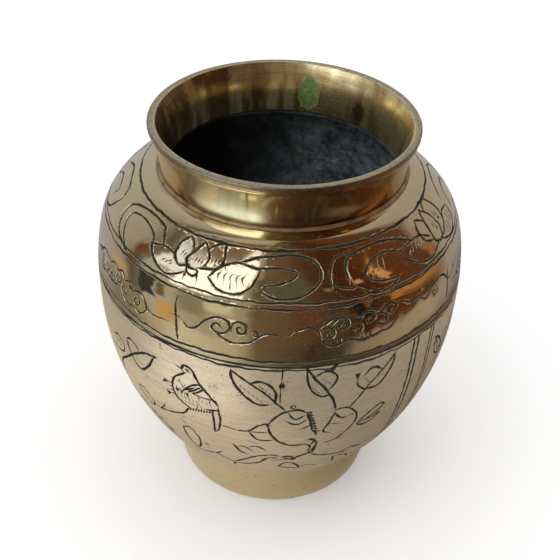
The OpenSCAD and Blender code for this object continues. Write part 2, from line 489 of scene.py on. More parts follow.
def songbird() -> Motif:
    """A small bird that looks down to the left, with a folded wing and two long tail feathers."""
    outline = [
        cut((-6.5, 12.4), (-5.2, 14.6), (-2, 13.4), (0, 9), (4, 4), (7.8, -1), tool=Tool.BROAD),
        cut((-9, 13.2), (-6.5, 12.4), (-5, 10.6), tool=Tool.FINE),
        cut((-5, 11), (-9.5, 7), (-11, 1), (-8.5, -4.5), (-4, -7)),
        cut((-6.5, 1.5), (-3, 5.5), (0.5, 7.5), (2, 6), (-0.5, 3.2), (-2.5, 2)),
        cut((-2.5, 2), (2, 1.4), (7, 1.8), tool=Tool.FINE),
    ]
    tail = [
        cut((5, -4), (5.4, -10), (5, -18)),
        cut((7.5, -2), (8, -8), (7.2, -15)),
        cut((5, -18), (6.4, -16.4), (7.2, -15), tool=Tool.FINE),
    ]
    legs = [
        cut((-4.5, -7.2), (-8, -12.5), (-14, -16), (-21, -19)),
        cut((-17, -13), (-18.5, -16), (-21, -19), tool=Tool.FINE),
        cut((-21, -19), (-24, -18.4), tool=Tool.FINE),
    ]
    feathers = hatch((-3.8, -6.9), (-4.2, -8.5), (1.15, 0.3), 9, Tool.LINE)
    feathers += hatch((-8.6, 6), (-8.4, 5.2), (1.5, -0.5), 4) + hatch((-9.2, 2.6), (-9, 1.8), (1.5, -0.4), 3)
    feathers += hatch((-9, -1), (-8.8, -1.8), (1.6, -0.2), 6) + hatch((-7.4, -3.8), (-7.2, -4.6), (1.6, 0), 6)
    feathers += hatch((0, 0), (0.2, -0.8), (1.5, -0.3), 4) + hatch((-11.4, 3), (-12.6, 2.6), (0.2, -1.8),
                                                                   4, Tool.FINE)
    feathers += [cut((-6.5, 1.5), (-1.5, 5.2), straight=True), cut((-4.2, 1.6), (1.0, 6.4), straight=True),
                 cut((2.6, -4.6), (8, -3.4), straight=True)]
    eye = [cut((-4.6, 13), (-4.1, 12.8), tool=Tool.LINE, straight=True)]
    return Motif("songbird", tuple(outline + tail + legs + feathers + eye))


def round_bird() -> Motif:
    """A plump bird seen from behind, with a ruffled breast and a pointed tail on the left."""
    outline = [
        cut((-6.2, 2.5), (-4, 6.5), (-1, 9), (3.5, 10.4), (6.8, 8.5), tool=Tool.BROAD),
        cut((6.8, 8.5), (8.6, 3), (9.5, -2.5), tool=Tool.BROAD),
        cut((-6.5, 0), (-5.6, -4.5), (-2.5, -9.5), (2, -12.6), (8.5, -12.6), tool=Tool.BROAD),
        cut((-6.2, 2.5), (-7, 1.2), (-6.5, 0)),
    ]
    back = [
        cut((0.5, 8.2), (2, 5.8), (4, 5.2), (6, 7)),
        cut((0, 4), (2.2, 2.2), (4.5, 2.2), (7, 4.5)),
        cut((5, -1), (6.8, -0.4), (8.5, 1)),
    ]
    tail = [
        cut((-18.5, -4), (-14, -3.5), (-10, 0.8), (-6.2, 2.5)),
        cut((-14, -3.5), (-10.5, -3.9), (-7, -3.5), tool=Tool.FINE),
        cut((-14, -3.5), (-11, -8.4), (-7.5, -9.2), (-4.6, -8.2)),
    ]
    feet = [
        cut((9.5, -2.5), (11.4, -3.6), (13, -3.2)),
        cut((9.5, -2.5), (11, -4.4), (11.5, -6.2)),
        cut((8.5, -9), (11, -10), (12.4, -12.5), (11.5, -17), (9, -22)),
        cut((8.5, -12.6), (10, -15), (9.6, -19)),
    ]
    ruffle = [cut((6.8 + 0.5 * i, 8.4 - 1.6 * i), (8.6 + 0.45 * i, 8.6 - 1.7 * i),
                  (7.8 + 0.45 * i, 7.2 - 1.6 * i))
              for i in range(7)]
    ruffle += [cut((-18.5, -4), (-24, -3), tool=Tool.FINE),
               cut((8.2, -9.4), (10.6, -8.6), (11.4, -11), (9.6, -14)),
               cut((9, -22), (4, -25), (-4, -27), tool=Tool.LINE)]
    return Motif("round_bird", tuple(outline + back + tail + feet + ruffle))


def little_bird() -> Motif:
    """A small round bird turned to the right."""
    return Motif("little_bird", (
        cut((-2.6, 6.6), (0, 7.2), (2.8, 6.4), (6.5, 1.5), (6.6, -3.5), (3.5, -9), (0, -13), (-4.5, -14.6)),
        cut((-2.5, 5.4), (-1, 2.8), (1, 1.2), (3, 1.4)),
        cut((-2.5, 5.4), (-4, 0), (-6, -5), (-3.5, -7), tool=Tool.LINE),
        cut((-3.4, -1), (-1.2, -1.6), tool=Tool.FINE, straight=True),
        *hatch((-3.2, 3.4), (-4.4, 3), (-0.5, -2), 3, Tool.FINE),
    ))


def divider() -> Motif:
    """Two pairs of upright lines that close a picture panel on its right."""
    lines = []
    for offset, foot in ((0, -67), (2.4, -66), (10, -67), (11.8, -67)):
        lines.append(cut((offset + 0.5, -1.2), (offset - 0.2, -12), (offset - 0.7, -28), (offset - 0.4, -46),
                         (offset + 0.6, foot), tool=Tool.BROAD if offset < 5 else Tool.LINE))
    return Motif("divider", tuple(lines))


def ground() -> Motif:
    """Bare twigs, a knot of cuts and fallen leaves along the foot of the panel."""
    twigs = (
        cut((-41, -1), (-35.5, 0), (-30.5, 2.7), (-29, 1.3), (-24, -2.7), (-24, -7.5)),
        cut((-30.6, 2), (-27.7, 6.4)),
        cut((-23, -2), (-15.7, 7.3), (-10, 10.8), (-6, 10.5), tool=Tool.BROAD),
        cut((-23, -3.8), (-16.6, -1.2), (-12.8, 2.8), (-10, 7.6), (-6, 8), tool=Tool.BROAD),
        cut((-5, 9.3), (-2.7, 9.8), (0, 6.8), (-1.6, 6.4), (-4.3, 8.7), tool=Tool.GOUGE),
        cut((0, 8.8), (3.4, 11.4), (5.8, 12.4), (6.4, 19), tool=Tool.BROAD),
        cut((5.6, 10.7), (8.5, 8.2), (15, 5.4), (22, 3.5), tool=Tool.BROAD),
    )
    leaves = (
        cut((18.4, 5.2), (21.8, 7.1), (27.5, 4), tool=Tool.BROAD),
        cut((17.5, -6.5), (16.3, 1.5), (22.6, -2), (24, -7), (17.5, -6.5)),
        cut((-22, 17.3), (-20, 12), (-18, 10), tool=Tool.BROAD),
        cut((-20.6, 16), (-18, 16.5), (-15.5, 13.4)),
        cut((-16.7, 17), (-13.7, 18), (-11, 15.5)),
        cut((-6, -2.6), (-3.6, 2.4), (0, 1), (2.7, -6), (-2.7, -4.7), (-6, -2.6), tool=Tool.BROAD),
        cut((3.2, -5.4), (5.7, -3), (10, -5.4)),
    )
    return Motif("ground", twigs + leaves)


def berry() -> Motif:
    """A hanging berry on a thread and a small ring beside it."""
    ring = [cut(*[(4.5 + 0.9 * math.cos(a), -14 + 0.9 * math.sin(a))
                  for a in (0, 1.05, 2.09, 3.14, 4.19, 5.24, 6.28)], tool=Tool.FINE)]
    return Motif("berry", tuple([
        cut((0, 5), (0.1, 2), (0, -1), tool=Tool.FINE),
        cut((-0.35, -2.4), (-0.35, -4.6), tool=Tool.GOUGE, straight=True),
        cut((0.45, -2.2), (0.45, -4.4), tool=Tool.GOUGE, straight=True),
        cut((-0.2, -6), (-0.4, -9), (-0.2, -12), tool=Tool.FINE),
    ] + ring))


def leaf_long() -> Motif:
    """The long leaf in the middle: its rib runs on into the stem, one side is wide and one is short."""
    return Motif("leaf_long", tuple([
        cut((-6.5, 7), (-1.5, 3), (4, -1), (9, -6), (13, -11)),
        cut((-6.5, 7), (-6.2, 3), (-3.5, -2), (0, -6), (3.5, -8.2), (7.4, -8.0), tool=Tool.BROAD),
        cut((0.2, 1.9), (3.6, 3), (6.8, 1.9), (9.2, -1.2), (9.6, -4.6), (9.2, -7.2), tool=Tool.BROAD),
    ] + hatch((-3.2, 0.6), (-2.8, -0.2), (1.5, -1.35), 6) + hatch((3.4, 1.4), (3.8, 0.7), (1.25, -1.15), 4)))


def leaf_round() -> Motif:
    """The broad leaf beside it, on a bent stem, with a smear of the graver over its tip."""
    return Motif("leaf_round", tuple([
        cut((-5.8, 10), (-2.5, 4.6), (1.6, -1), (4.6, -6.5), (6.5, -12.5), tool=Tool.BROAD),
        cut((-5.4, 9), (-5, 4), (-3, -1.6), (0, -4.4), (3.2, -4.4)),
        cut((-2.4, 5.2), (0.4, 7), (3.6, 6.6), (5.6, 4.2), (4.8, 0.6), (2.6, -2.2)),
        cut((0, 8.6), (2.4, 7.2), (4, 9), (6.4, 11.4), tool=Tool.FINE),
        cut((1.4, 7.6), (3.4, 7.4), (5.2, 9.6), tool=Tool.GOUGE),
    ] + hatch((-4, 1), (-3.2, 0.4), (0.9, -1), 4) + hatch((0.4, 3.8), (1.2, 3.2), (1, -0.9), 4)))


def leaf_tall() -> Motif:
    """The narrow leaf on the right, with a rounder one behind it, on a straight stem."""
    return Motif("leaf_tall", tuple([
        cut((8.6, 10), (2.5, 3.2), (-2, -1.5), (-8.5, -10.5)),
        cut((8.6, 10), (7.8, 5), (5, -0.2), (1.4, -3), (-2.4, -2.6), tool=Tool.BROAD),
        cut((-4, 4.6), (-2, 6.6), (0.8, 6.6), (3.2, 4.8), tool=Tool.BROAD),
        cut((-6.6, 3), (-6, 0), (-3.6, -2.4), (-1.6, -2.4)),
    ] + hatch((-3.6, 2.6), (-2.8, 2.2), (0.9, -1.2), 3) + hatch((1.6, 0.6), (2.2, 1.2), (1.1, 1.3), 4)))


def leaf_fan() -> Motif:
    """Two small leaves that share a foot, low on the right."""
    return Motif("leaf_fan", (
        cut((-6, -3), (-2.5, 1.2), (0.8, 4.3), (3.4, 5.2), (4.8, 3.8), (3, 1.6), (-2, -1.6), tool=Tool.BROAD),
        cut((-6, -3), (-3.4, -4.6), (0.5, -4), (3.8, -0.6), (0, -1.6), (-4, -2.2), tool=Tool.BROAD),
    ))


def leaf_folded() -> Motif:
    """The large folded leaf at the panel's left, on a stem that bends down."""
    return Motif("leaf_folded", (
        cut((-3.5, -17.5), (-2, -10), (4.5, -3), (13, 5), (19, 8.6), (24, 9.6), tool=Tool.BROAD),
        cut((6.5, 8), (8, 3.5), (11, -1), (15, -2), (19, 2.5), (22.6, 9), tool=Tool.BROAD),
        cut((6.5, 8), (9.5, 9.6), (12.5, 8.6), (14.5, 6.5)),
        cut((-4, 3), (-0.5, 4.6), (3.5, 2.5), (2.5, -1.6), (-2, -3.6), (-6.5, -3)),
        cut((-3, 0.5), (0, 1.4), (1, -0.6), tool=Tool.HAIR),
        cut((-3.5, -17.5), (1, -24), (8, -31), tool=Tool.FINE),
        cut((8.5, -15.5), (13, -14.6), (17, -19), (15.5, -23), (11, -21), (8.5, -15.5)),
        cut((10.5, -17), (14.6, -20.4), tool=Tool.HAIR),
    ))


def leaf_closed() -> Motif:
    """A bare outlined leaf near the panel's foot."""
    return Motif("leaf_closed", (
        cut((-1.6, 6), (1.8, 8), (4.4, 3), (4.2, -4), (1.4, -9.5), (-1.4, -3), (-1.6, 6)),
    ))


def spray(stem: Sequence[Point], leaves: Iterable[tuple[Point, Point, float, float, int]],
          name: str) -> Motif:
    """A twig with its leaves.

    Args:
        stem: Points of the twig.
        leaves: For each leaf its tip, its base, its two bulges and its number of ribs.
        name: Name of the motif.

    Returns:
        The motif.
    """
    strokes = [cut(*stem)] if len(stem) > 1 else []
    for tip, base, left, right, ribs in leaves:
        strokes += leaf(tip, base, left, right, ribs)
    return Motif(name, tuple(strokes))


class Ornament:
    """Everything that is cut into the body, once for each half turn."""

    def half_turn(self) -> list[Placing]:
        """The motifs of one half of the pot, from the panel's left edge to its divider."""
        shoulder = [
            Placing(scroll_tail(), -84, 31), Placing(arch(), -55, 31.5), Placing(lotus_open(), -28, 31),
            Placing(leaf_pad(), -14.5, 31.5), Placing(leaf_rolled(), 5, 34.5), Placing(ribbon(), 23, 34),
            Placing(scroll(), 33.5, 31), Placing(lotus_turned(), 60, 30.5),
        ]
        clouds = [
            Placing(cloud_wisp(), -90, 12), Placing(cloud_chain(), -56, 14), Placing(cloud_small(), -14, 15),
            Placing(cloud_large(), 23, 14), Placing(cloud_wisp(), 52, 15),
            Placing(cloud_chain(), 82, 13, True, 0.8),
        ]
        panel = [
            Placing(songbird(), -22, -22), Placing(round_bird(), 4, -31), Placing(little_bird(), 20, -30),
            Placing(berry(), 2, -5), Placing(divider(), 43, 0), Placing(ground(), 8, -63.5),
            Placing(songbird(), -98, -24, True, 0.9), Placing(ground(), -72, -66, True, 0.9),
            Placing(leaf_long(), -7, -10), Placing(leaf_round(), 13, -10), Placing(leaf_tall(), 29, -13),
            Placing(leaf_fan(), 31, -33), Placing(leaf_folded(), -55, -20), Placing(leaf_closed(), -29, -52),
            Placing(spray([(0, 0), (6, -8)], [((14, -17), (5, -6), 2.5, 2.5, 2)], "leaf_hanging"), -50, -44),
            Placing(spray([(-6, -8), (0, 0)], [((8, 9), (-2, -3), 3, 3, 3), ((-8, 8), (-3, -4), 2.5, 2.5, 2)],
                          "spray_back"), -118, -18),
            Placing(spray([(-4, 6), (2, -5)], [((6, -14), (1, -3), 3, 3, 3)], "leaf_back"), -80, -42),
        ]
        return shoulder + clouds + panel


# ---------------------------------------------------------------- cutting the drawing into the skin

@dataclass
class Track:
    """A sampled cut on the unrolled skin: points, half widths, depths and whether it runs right round."""

    points: np.ndarray
    half_width: np.ndarray
    depth: np.ndarray


def smooth_curve(points: Sequence[Point], straight: bool) -> Callable[[np.ndarray], np.ndarray]:
    """A curve through the given points as a function of a parameter from 0 to 1."""
    fixed = np.array(points, float)
    if straight or len(fixed) == 2:
        knots = np.linspace(0, 1, len(fixed))
        return lambda t: np.stack([np.interp(t, knots, fixed[:, 0]), np.interp(t, knots, fixed[:, 1])], 1)
    ends = np.vstack([2 * fixed[0] - fixed[1], fixed, 2 * fixed[-1] - fixed[-2]])
    spans = len(fixed) - 1

    def place(t: np.ndarray) -> np.ndarray:
        """Catmull-Rom interpolation at the given parameters."""
        scaled = np.clip(t * spans, 0, spans - 1e-9)
        i = scaled.astype(int)
        f = (scaled - i)[:, None]
        a, b, c, d = ends[i], ends[i + 1], ends[i + 2], ends[i + 3]
        return 0.5 * (2 * b + (c - a) * f + (2 * a - 5 * b + 4 * c - d) * f ** 2
                      + (3 * b - a - 3 * c + d) * f ** 3)

    return place


class Wander:
    """A slow, seeded wander of the hand: a sum of sines with random phases."""

    def __init__(self, random: Random, size: float, longest: float, terms: int = 4) -> None:
        """Draws the phases.

        Args:
            random: Source of the phases.
            size: Largest part of the wander.
            longest: Longest wavelength.
            terms: Number of sines, each half as long as the last.
        """
        self.terms = [(size / (i + 1), FULL_TURN / longest * (i + 1) * random.uniform(0.8, 1.25),
                       random.uniform(0, FULL_TURN)) for i in range(terms)]

    def __call__(self, x: np.ndarray) -> np.ndarray:
        """Value of the wander at x."""
        return sum(size * np.sin(rate * x + phase) for size, rate, phase in self.terms)


@dataclass
class Graver:
    """Turns the drawing into cuts on the unrolled skin."""

    skin: Unrolled
    seed: int = 11
    step: float = 0.7
    taper: float = 1.6
    hand: float = 0.07
    tracks: list[Track] = field(default_factory=list)

    def __post_init__(self) -> None:
        """Starts the seeded wander."""
        self.random = Random(self.seed)

    def cut_ring(self, along: float, tool: Tool, wobble: float, lowest: float = 0.6) -> None:
        """Cuts a ring right round the body.

        Args:
            along: Place of the ring along the profile.
            tool: The graver.
            wobble: How far the ring strays up and down.
            lowest: Smallest share of the tool's width.
        """
        random = self.random
        terms = [(wobble / (1.6 + 0.5 * i), (2 * i + 1) ** 2 + random.randrange(0, 4),
                  random.uniform(0, FULL_TURN))
                 for i in range(5)]
        swell = [(random.randrange(3, 30), random.uniform(0, FULL_TURN)) for _ in range(5)]
        middle = self.skin.rise(along)
        count = int(FULL_TURN * self.skin.radius_along(along) / self.step)
        turn = np.arange(-int(count * 0.05), int(count * 1.05) + 1) * FULL_TURN / count - math.pi
        stray = sum(size * np.sin(rate * turn + phase) for size, rate, phase in terms)
        full = sum(np.sin(rate * turn + phase) for rate, phase in swell) / len(swell)
        share = np.clip(0.9 + 0.55 * full, lowest, 1.4)
        scale = self.skin.scale(middle)
        self.tracks.append(Track(np.stack([turn * self.skin.reach, middle + stray / scale], 1),
                                 tool.value[0] / 2 * share / scale, tool.value[1] * share))

    def cut_placing(self, placing: Placing, half: int) -> None:
        """Cuts one motif.

        Args:
            placing: The motif and its place.
            half: 0 for the front half, 1 for the same drawing on the other side.
        """
        radius = self.skin.radius_along(placing.along)
        for stroke in placing.motif.strokes:
            curve = smooth_curve(stroke.points, stroke.straight)
            rough = curve(np.linspace(0, 1, 60)) * placing.scale
            length = float(np.hypot(*np.diff(rough, axis=0).T).sum())
            count = max(3, int(length / self.step) + 1)
            local = curve(np.linspace(0, 1, count)) * placing.scale
            if placing.flip:
                local[:, 0] *= -1
            way = np.linspace(0, length, count)
            size = self.hand * min(1.0, length / 5)
            local[:, 0] += Wander(self.random, size, 9)(way)
            local[:, 1] += Wander(self.random, size, 9)(way)
            turn = math.radians(placing.turn + 180 * half) + local[:, 0] / radius
            flat = np.array([self.skin.rise(placing.along + y) for y in local[:, 1]])
            keep = (flat < self.skin.top - 0.8) & (flat > self.skin.bottom + 0.8)
            if keep.sum() < 3:
                continue
            ends = np.minimum(way, length - way)
            share = 0.35 + 0.65 * np.clip(ends / min(self.taper, length / 3), 0, 1) ** 0.7
            share *= 1 + Wander(self.random, 0.14, 6)(way)
            scale = self.skin.scale(flat)
            track = np.stack([turn * self.skin.reach, flat], 1)[keep]
            width = (stroke.tool.value[0] / 2 * share / scale)[keep]
            depth = (stroke.tool.value[1] * share)[keep]
            for lap in (-1, 0, 1):
                moved = track + [lap * FULL_TURN * self.skin.reach, 0]
                edge = math.pi * self.skin.reach + 2
                if moved[:, 0].max() > -edge and moved[:, 0].min() < edge:
                    self.tracks.append(Track(moved, width, depth))

    def cut_all(self, ornament: Ornament, rings: Iterable[tuple[float, Tool, float]]) -> None:
        """Cuts the rings and then the ornament on both halves."""
        for along, tool, wobble in rings:
            self.cut_ring(along, tool, wobble)
        for half in (0, 1):
            for placing in ornament.half_turn():
                self.cut_placing(placing, half)


@dataclass
class Ripple:
    """Slow unevenness of a hand-finished surface, as a height with its slopes."""

    random: Random
    size: float = 0.045
    terms: int = 9

    def __post_init__(self) -> None:
        """Draws the waves."""
        self.waves = [(self.random.randrange(1, 15), self.random.uniform(-0.22, 0.22),
                       self.random.uniform(0, FULL_TURN), self.random.uniform(0.5, 1))
                       for _ in range(self.terms)]
        self.share = self.size / sum(w[3] for w in self.waves) * 1.6

    def __call__(self, turn: np.ndarray, along: np.ndarray) -> tuple[np.ndarray, np.ndarray, np.ndarray]:
        """Height and its slopes per radian of turn and per millimetre along the profile."""
        height = np.zeros_like(turn)
        by_turn = np.zeros_like(turn)
        by_along = np.zeros_like(turn)
        for laps, rate, phase, weight in self.waves:
            angle = laps * turn + rate * along + phase
            height += self.share * weight * np.sin(angle)
            by_turn += self.share * weight * laps * np.cos(angle)
            by_along += self.share * weight * rate * np.cos(angle)
        return height - self.size * 1.7, by_turn, by_along


@dataclass
class Relief:
    """How far the cut skin lies from the turned surface, anywhere on the unrolled skin."""

    skin: Unrolled
    tracks: list[Track]
    burr: float = 0.05
    burr_reach: float = 1.6

    def __post_init__(self) -> None:
        """Collects the stretches of every track and sorts their points for searching."""
        self.start = np.vstack([t.points[:-1] for t in self.tracks])
        self.end = np.vstack([t.points[1:] for t in self.tracks])
        self.width = np.stack([np.r_[tuple(t.half_width[:-1] for t in self.tracks)],
                               np.r_[tuple(t.half_width[1:] for t in self.tracks)]], 1)
        self.depth = np.stack([np.r_[tuple(t.depth[:-1] for t in self.tracks)],
                               np.r_[tuple(t.depth[1:] for t in self.tracks)]], 1)
        self.tree = KDTree(2 * len(self.start))
        for i, (a, b) in enumerate(zip(self.start, self.end)):
            self.tree.insert((a[0], a[1], 0.0), i)
            self.tree.insert(((a[0] + b[0]) / 2, (a[1] + b[1]) / 2, 0.0), i)
        self.tree.balance()

    def measure(self, flat: np.ndarray) -> tuple[np.ndarray, np.ndarray]:
        """Height of the cut and the burr, and how deep in a cut each place lies.

        Args:
            flat: Rows of (across, up) on the unrolled skin.

        Returns:
            Heights in millimetres, and the share of the way from the cut's edge (0) to its bottom (1).
        """
        near = np.array([[index for _, index, _ in self.tree.find_n((u, v, 0.0), 8)] for u, v in flat])
        a, b = self.start[near], self.end[near]
        along = b - a
        way = ((flat[:, None] - a) * along).sum(2) / np.maximum((along ** 2).sum(2), 1e-9)
        way = np.clip(way, 0, 1)
        gap = np.hypot(*np.moveaxis(flat[:, None] - a - along * way[..., None], 2, 0))
        width = self.width[near, 0] * (1 - way) + self.width[near, 1] * way
        depth = self.depth[near, 0] * (1 - way) + self.depth[near, 1] * way
        share = gap / width
        inside = share < 1
        low = np.where(inside, -depth * (1 - share) + self.burr * share, 0).min(1)
        reach = self.burr_reach - 1
        high = np.where(inside, 0, self.burr * np.clip((self.burr_reach - share) / reach, 0, 1)).max(1)
        deep = np.clip(1 - share, 0, 1).max(1)
        return np.where(inside.any(1), low, high), np.where(share.min(1) < self.burr_reach - 0.02,
                                                            np.maximum(deep, 0.001), 0)

    def clear(self, flat: np.ndarray, gap: float) -> np.ndarray:
        """Which places are at least a gap away from every cut."""
        return np.array([self.tree.find((u, v, 0.0))[2] > gap for u, v in flat])


@dataclass
class Solid:
    """A closed mesh being built: its points, its faces, each face's material and the corners' normals."""

    points: list[np.ndarray] = field(default_factory=list)
    faces: list[tuple[int, ...]] = field(default_factory=list)
    kinds: list[int] = field(default_factory=list)
    normals: list[np.ndarray] = field(default_factory=list)
    marks: list[np.ndarray] = field(default_factory=list)
    count: int = 0

    def add(self, points: np.ndarray, marks: np.ndarray) -> int:
        """Adds points with their marks and returns the index of the first."""
        first = self.count
        self.points.append(points)
        self.marks.append(marks)
        self.count += len(points)
        return first

    def weld(self, candidates: np.ndarray, gap: float) -> np.ndarray:
        """New index of every point once the candidates that coincide are joined.

        Args:
            candidates: Indices of the points that may coincide with another.
            gap: Largest distance between points that are joined.

        Returns:
            For every point the index of the point that stands for it.
        """
        points = np.vstack(self.points)
        joined = np.arange(len(points))
        tree = KDTree(len(candidates))
        for i in candidates:
            tree.insert(points[i], int(i))
        tree.balance()
        for i in candidates:
            joined[i] = min(index for _, index, _ in tree.find_range(points[i], gap))
        return joined

    def build(self, name: str, materials: Sequence[bpy.types.Material], candidates: np.ndarray,
              gap: float = 0.004) -> bpy.types.Object:
        """Makes the mesh object.

        Args:
            name: The piece's name.
            materials: Its materials, in the order of the faces' kinds.
            candidates: Indices of the points that may be joined.
            gap: Largest distance, in millimetres, between joined points.

        Returns:
            The object, linked to the scene.
        """
        joined = self.weld(candidates, gap)
        used, compact = np.unique(joined, return_inverse=True)
        points = np.vstack(self.points)[used] * MM
        marks = np.concatenate(self.marks)[used]
        faces, kinds, normals = [], [], []
        for face, kind, normal in zip(self.faces, self.kinds, self.normals):
            new = [int(compact[i]) for i in face]
            if len(set(new)) == len(new):
                faces.append(new)
                kinds.append(kind)
                normals.append(normal)
        mesh = bpy.data.meshes.new(name)
        mesh.from_pydata(points.tolist(), [], faces)
        mesh.polygons.foreach_set("material_index", kinds)
        mesh.polygons.foreach_set("use_smooth", [True] * len(faces))
        mesh.attributes.new("cut", "FLOAT", "POINT").data.foreach_set("value", marks.astype(np.float32))
        for material in materials:
            mesh.materials.append(material)
        mesh.validate()
        mesh.normals_split_custom_set(np.vstack(normals).tolist())
        piece = bpy.data.objects.new(name, mesh)
        bpy.context.scene.collection.objects.link(piece)
        return piece


def spun(profile: np.ndarray, turns: np.ndarray) -> np.ndarray:
    """Points of a profile at several turns about the axis; turn 0 is the front and +90 degrees is +X.

    Args:
        profile: Rows of (radius, height).
        turns: Turns in radians.

    Returns:
        An array of profile rows by turns by (x, y, z).
    """
    radius, height = profile[:, :1], profile[:, 1:]
    return np.stack([radius * np.sin(turns), -radius * np.cos(turns), height + 0 * turns], axis=2)


def facing(profile: np.ndarray, limit: float) -> tuple[np.ndarray, np.ndarray]:
    """Normals at both ends of every stretch of an open profile, smoothed across shallow corners.

    Args:
        profile: Rows of (radius, height), the outside on the right of the way along.
        limit: Sharpest corner, in degrees, that is still smoothed.

    Returns:
        Normals at the start and at the end of each stretch.
    """
    along = np.diff(profile, axis=0)
    along /= np.maximum(np.hypot(*along.T), 1e-9)[:, None]
    normal = np.stack([along[:, 1], -along[:, 0]], 1)
    start, end = normal.copy(), normal.copy()
    for i in range(len(normal) - 1):
        if normal[i] @ normal[i + 1] > math.cos(math.radians(limit)):
            mean = normal[i] + normal[i + 1]
            start[i + 1] = end[i] = mean / np.hypot(*mean)
    return start, end


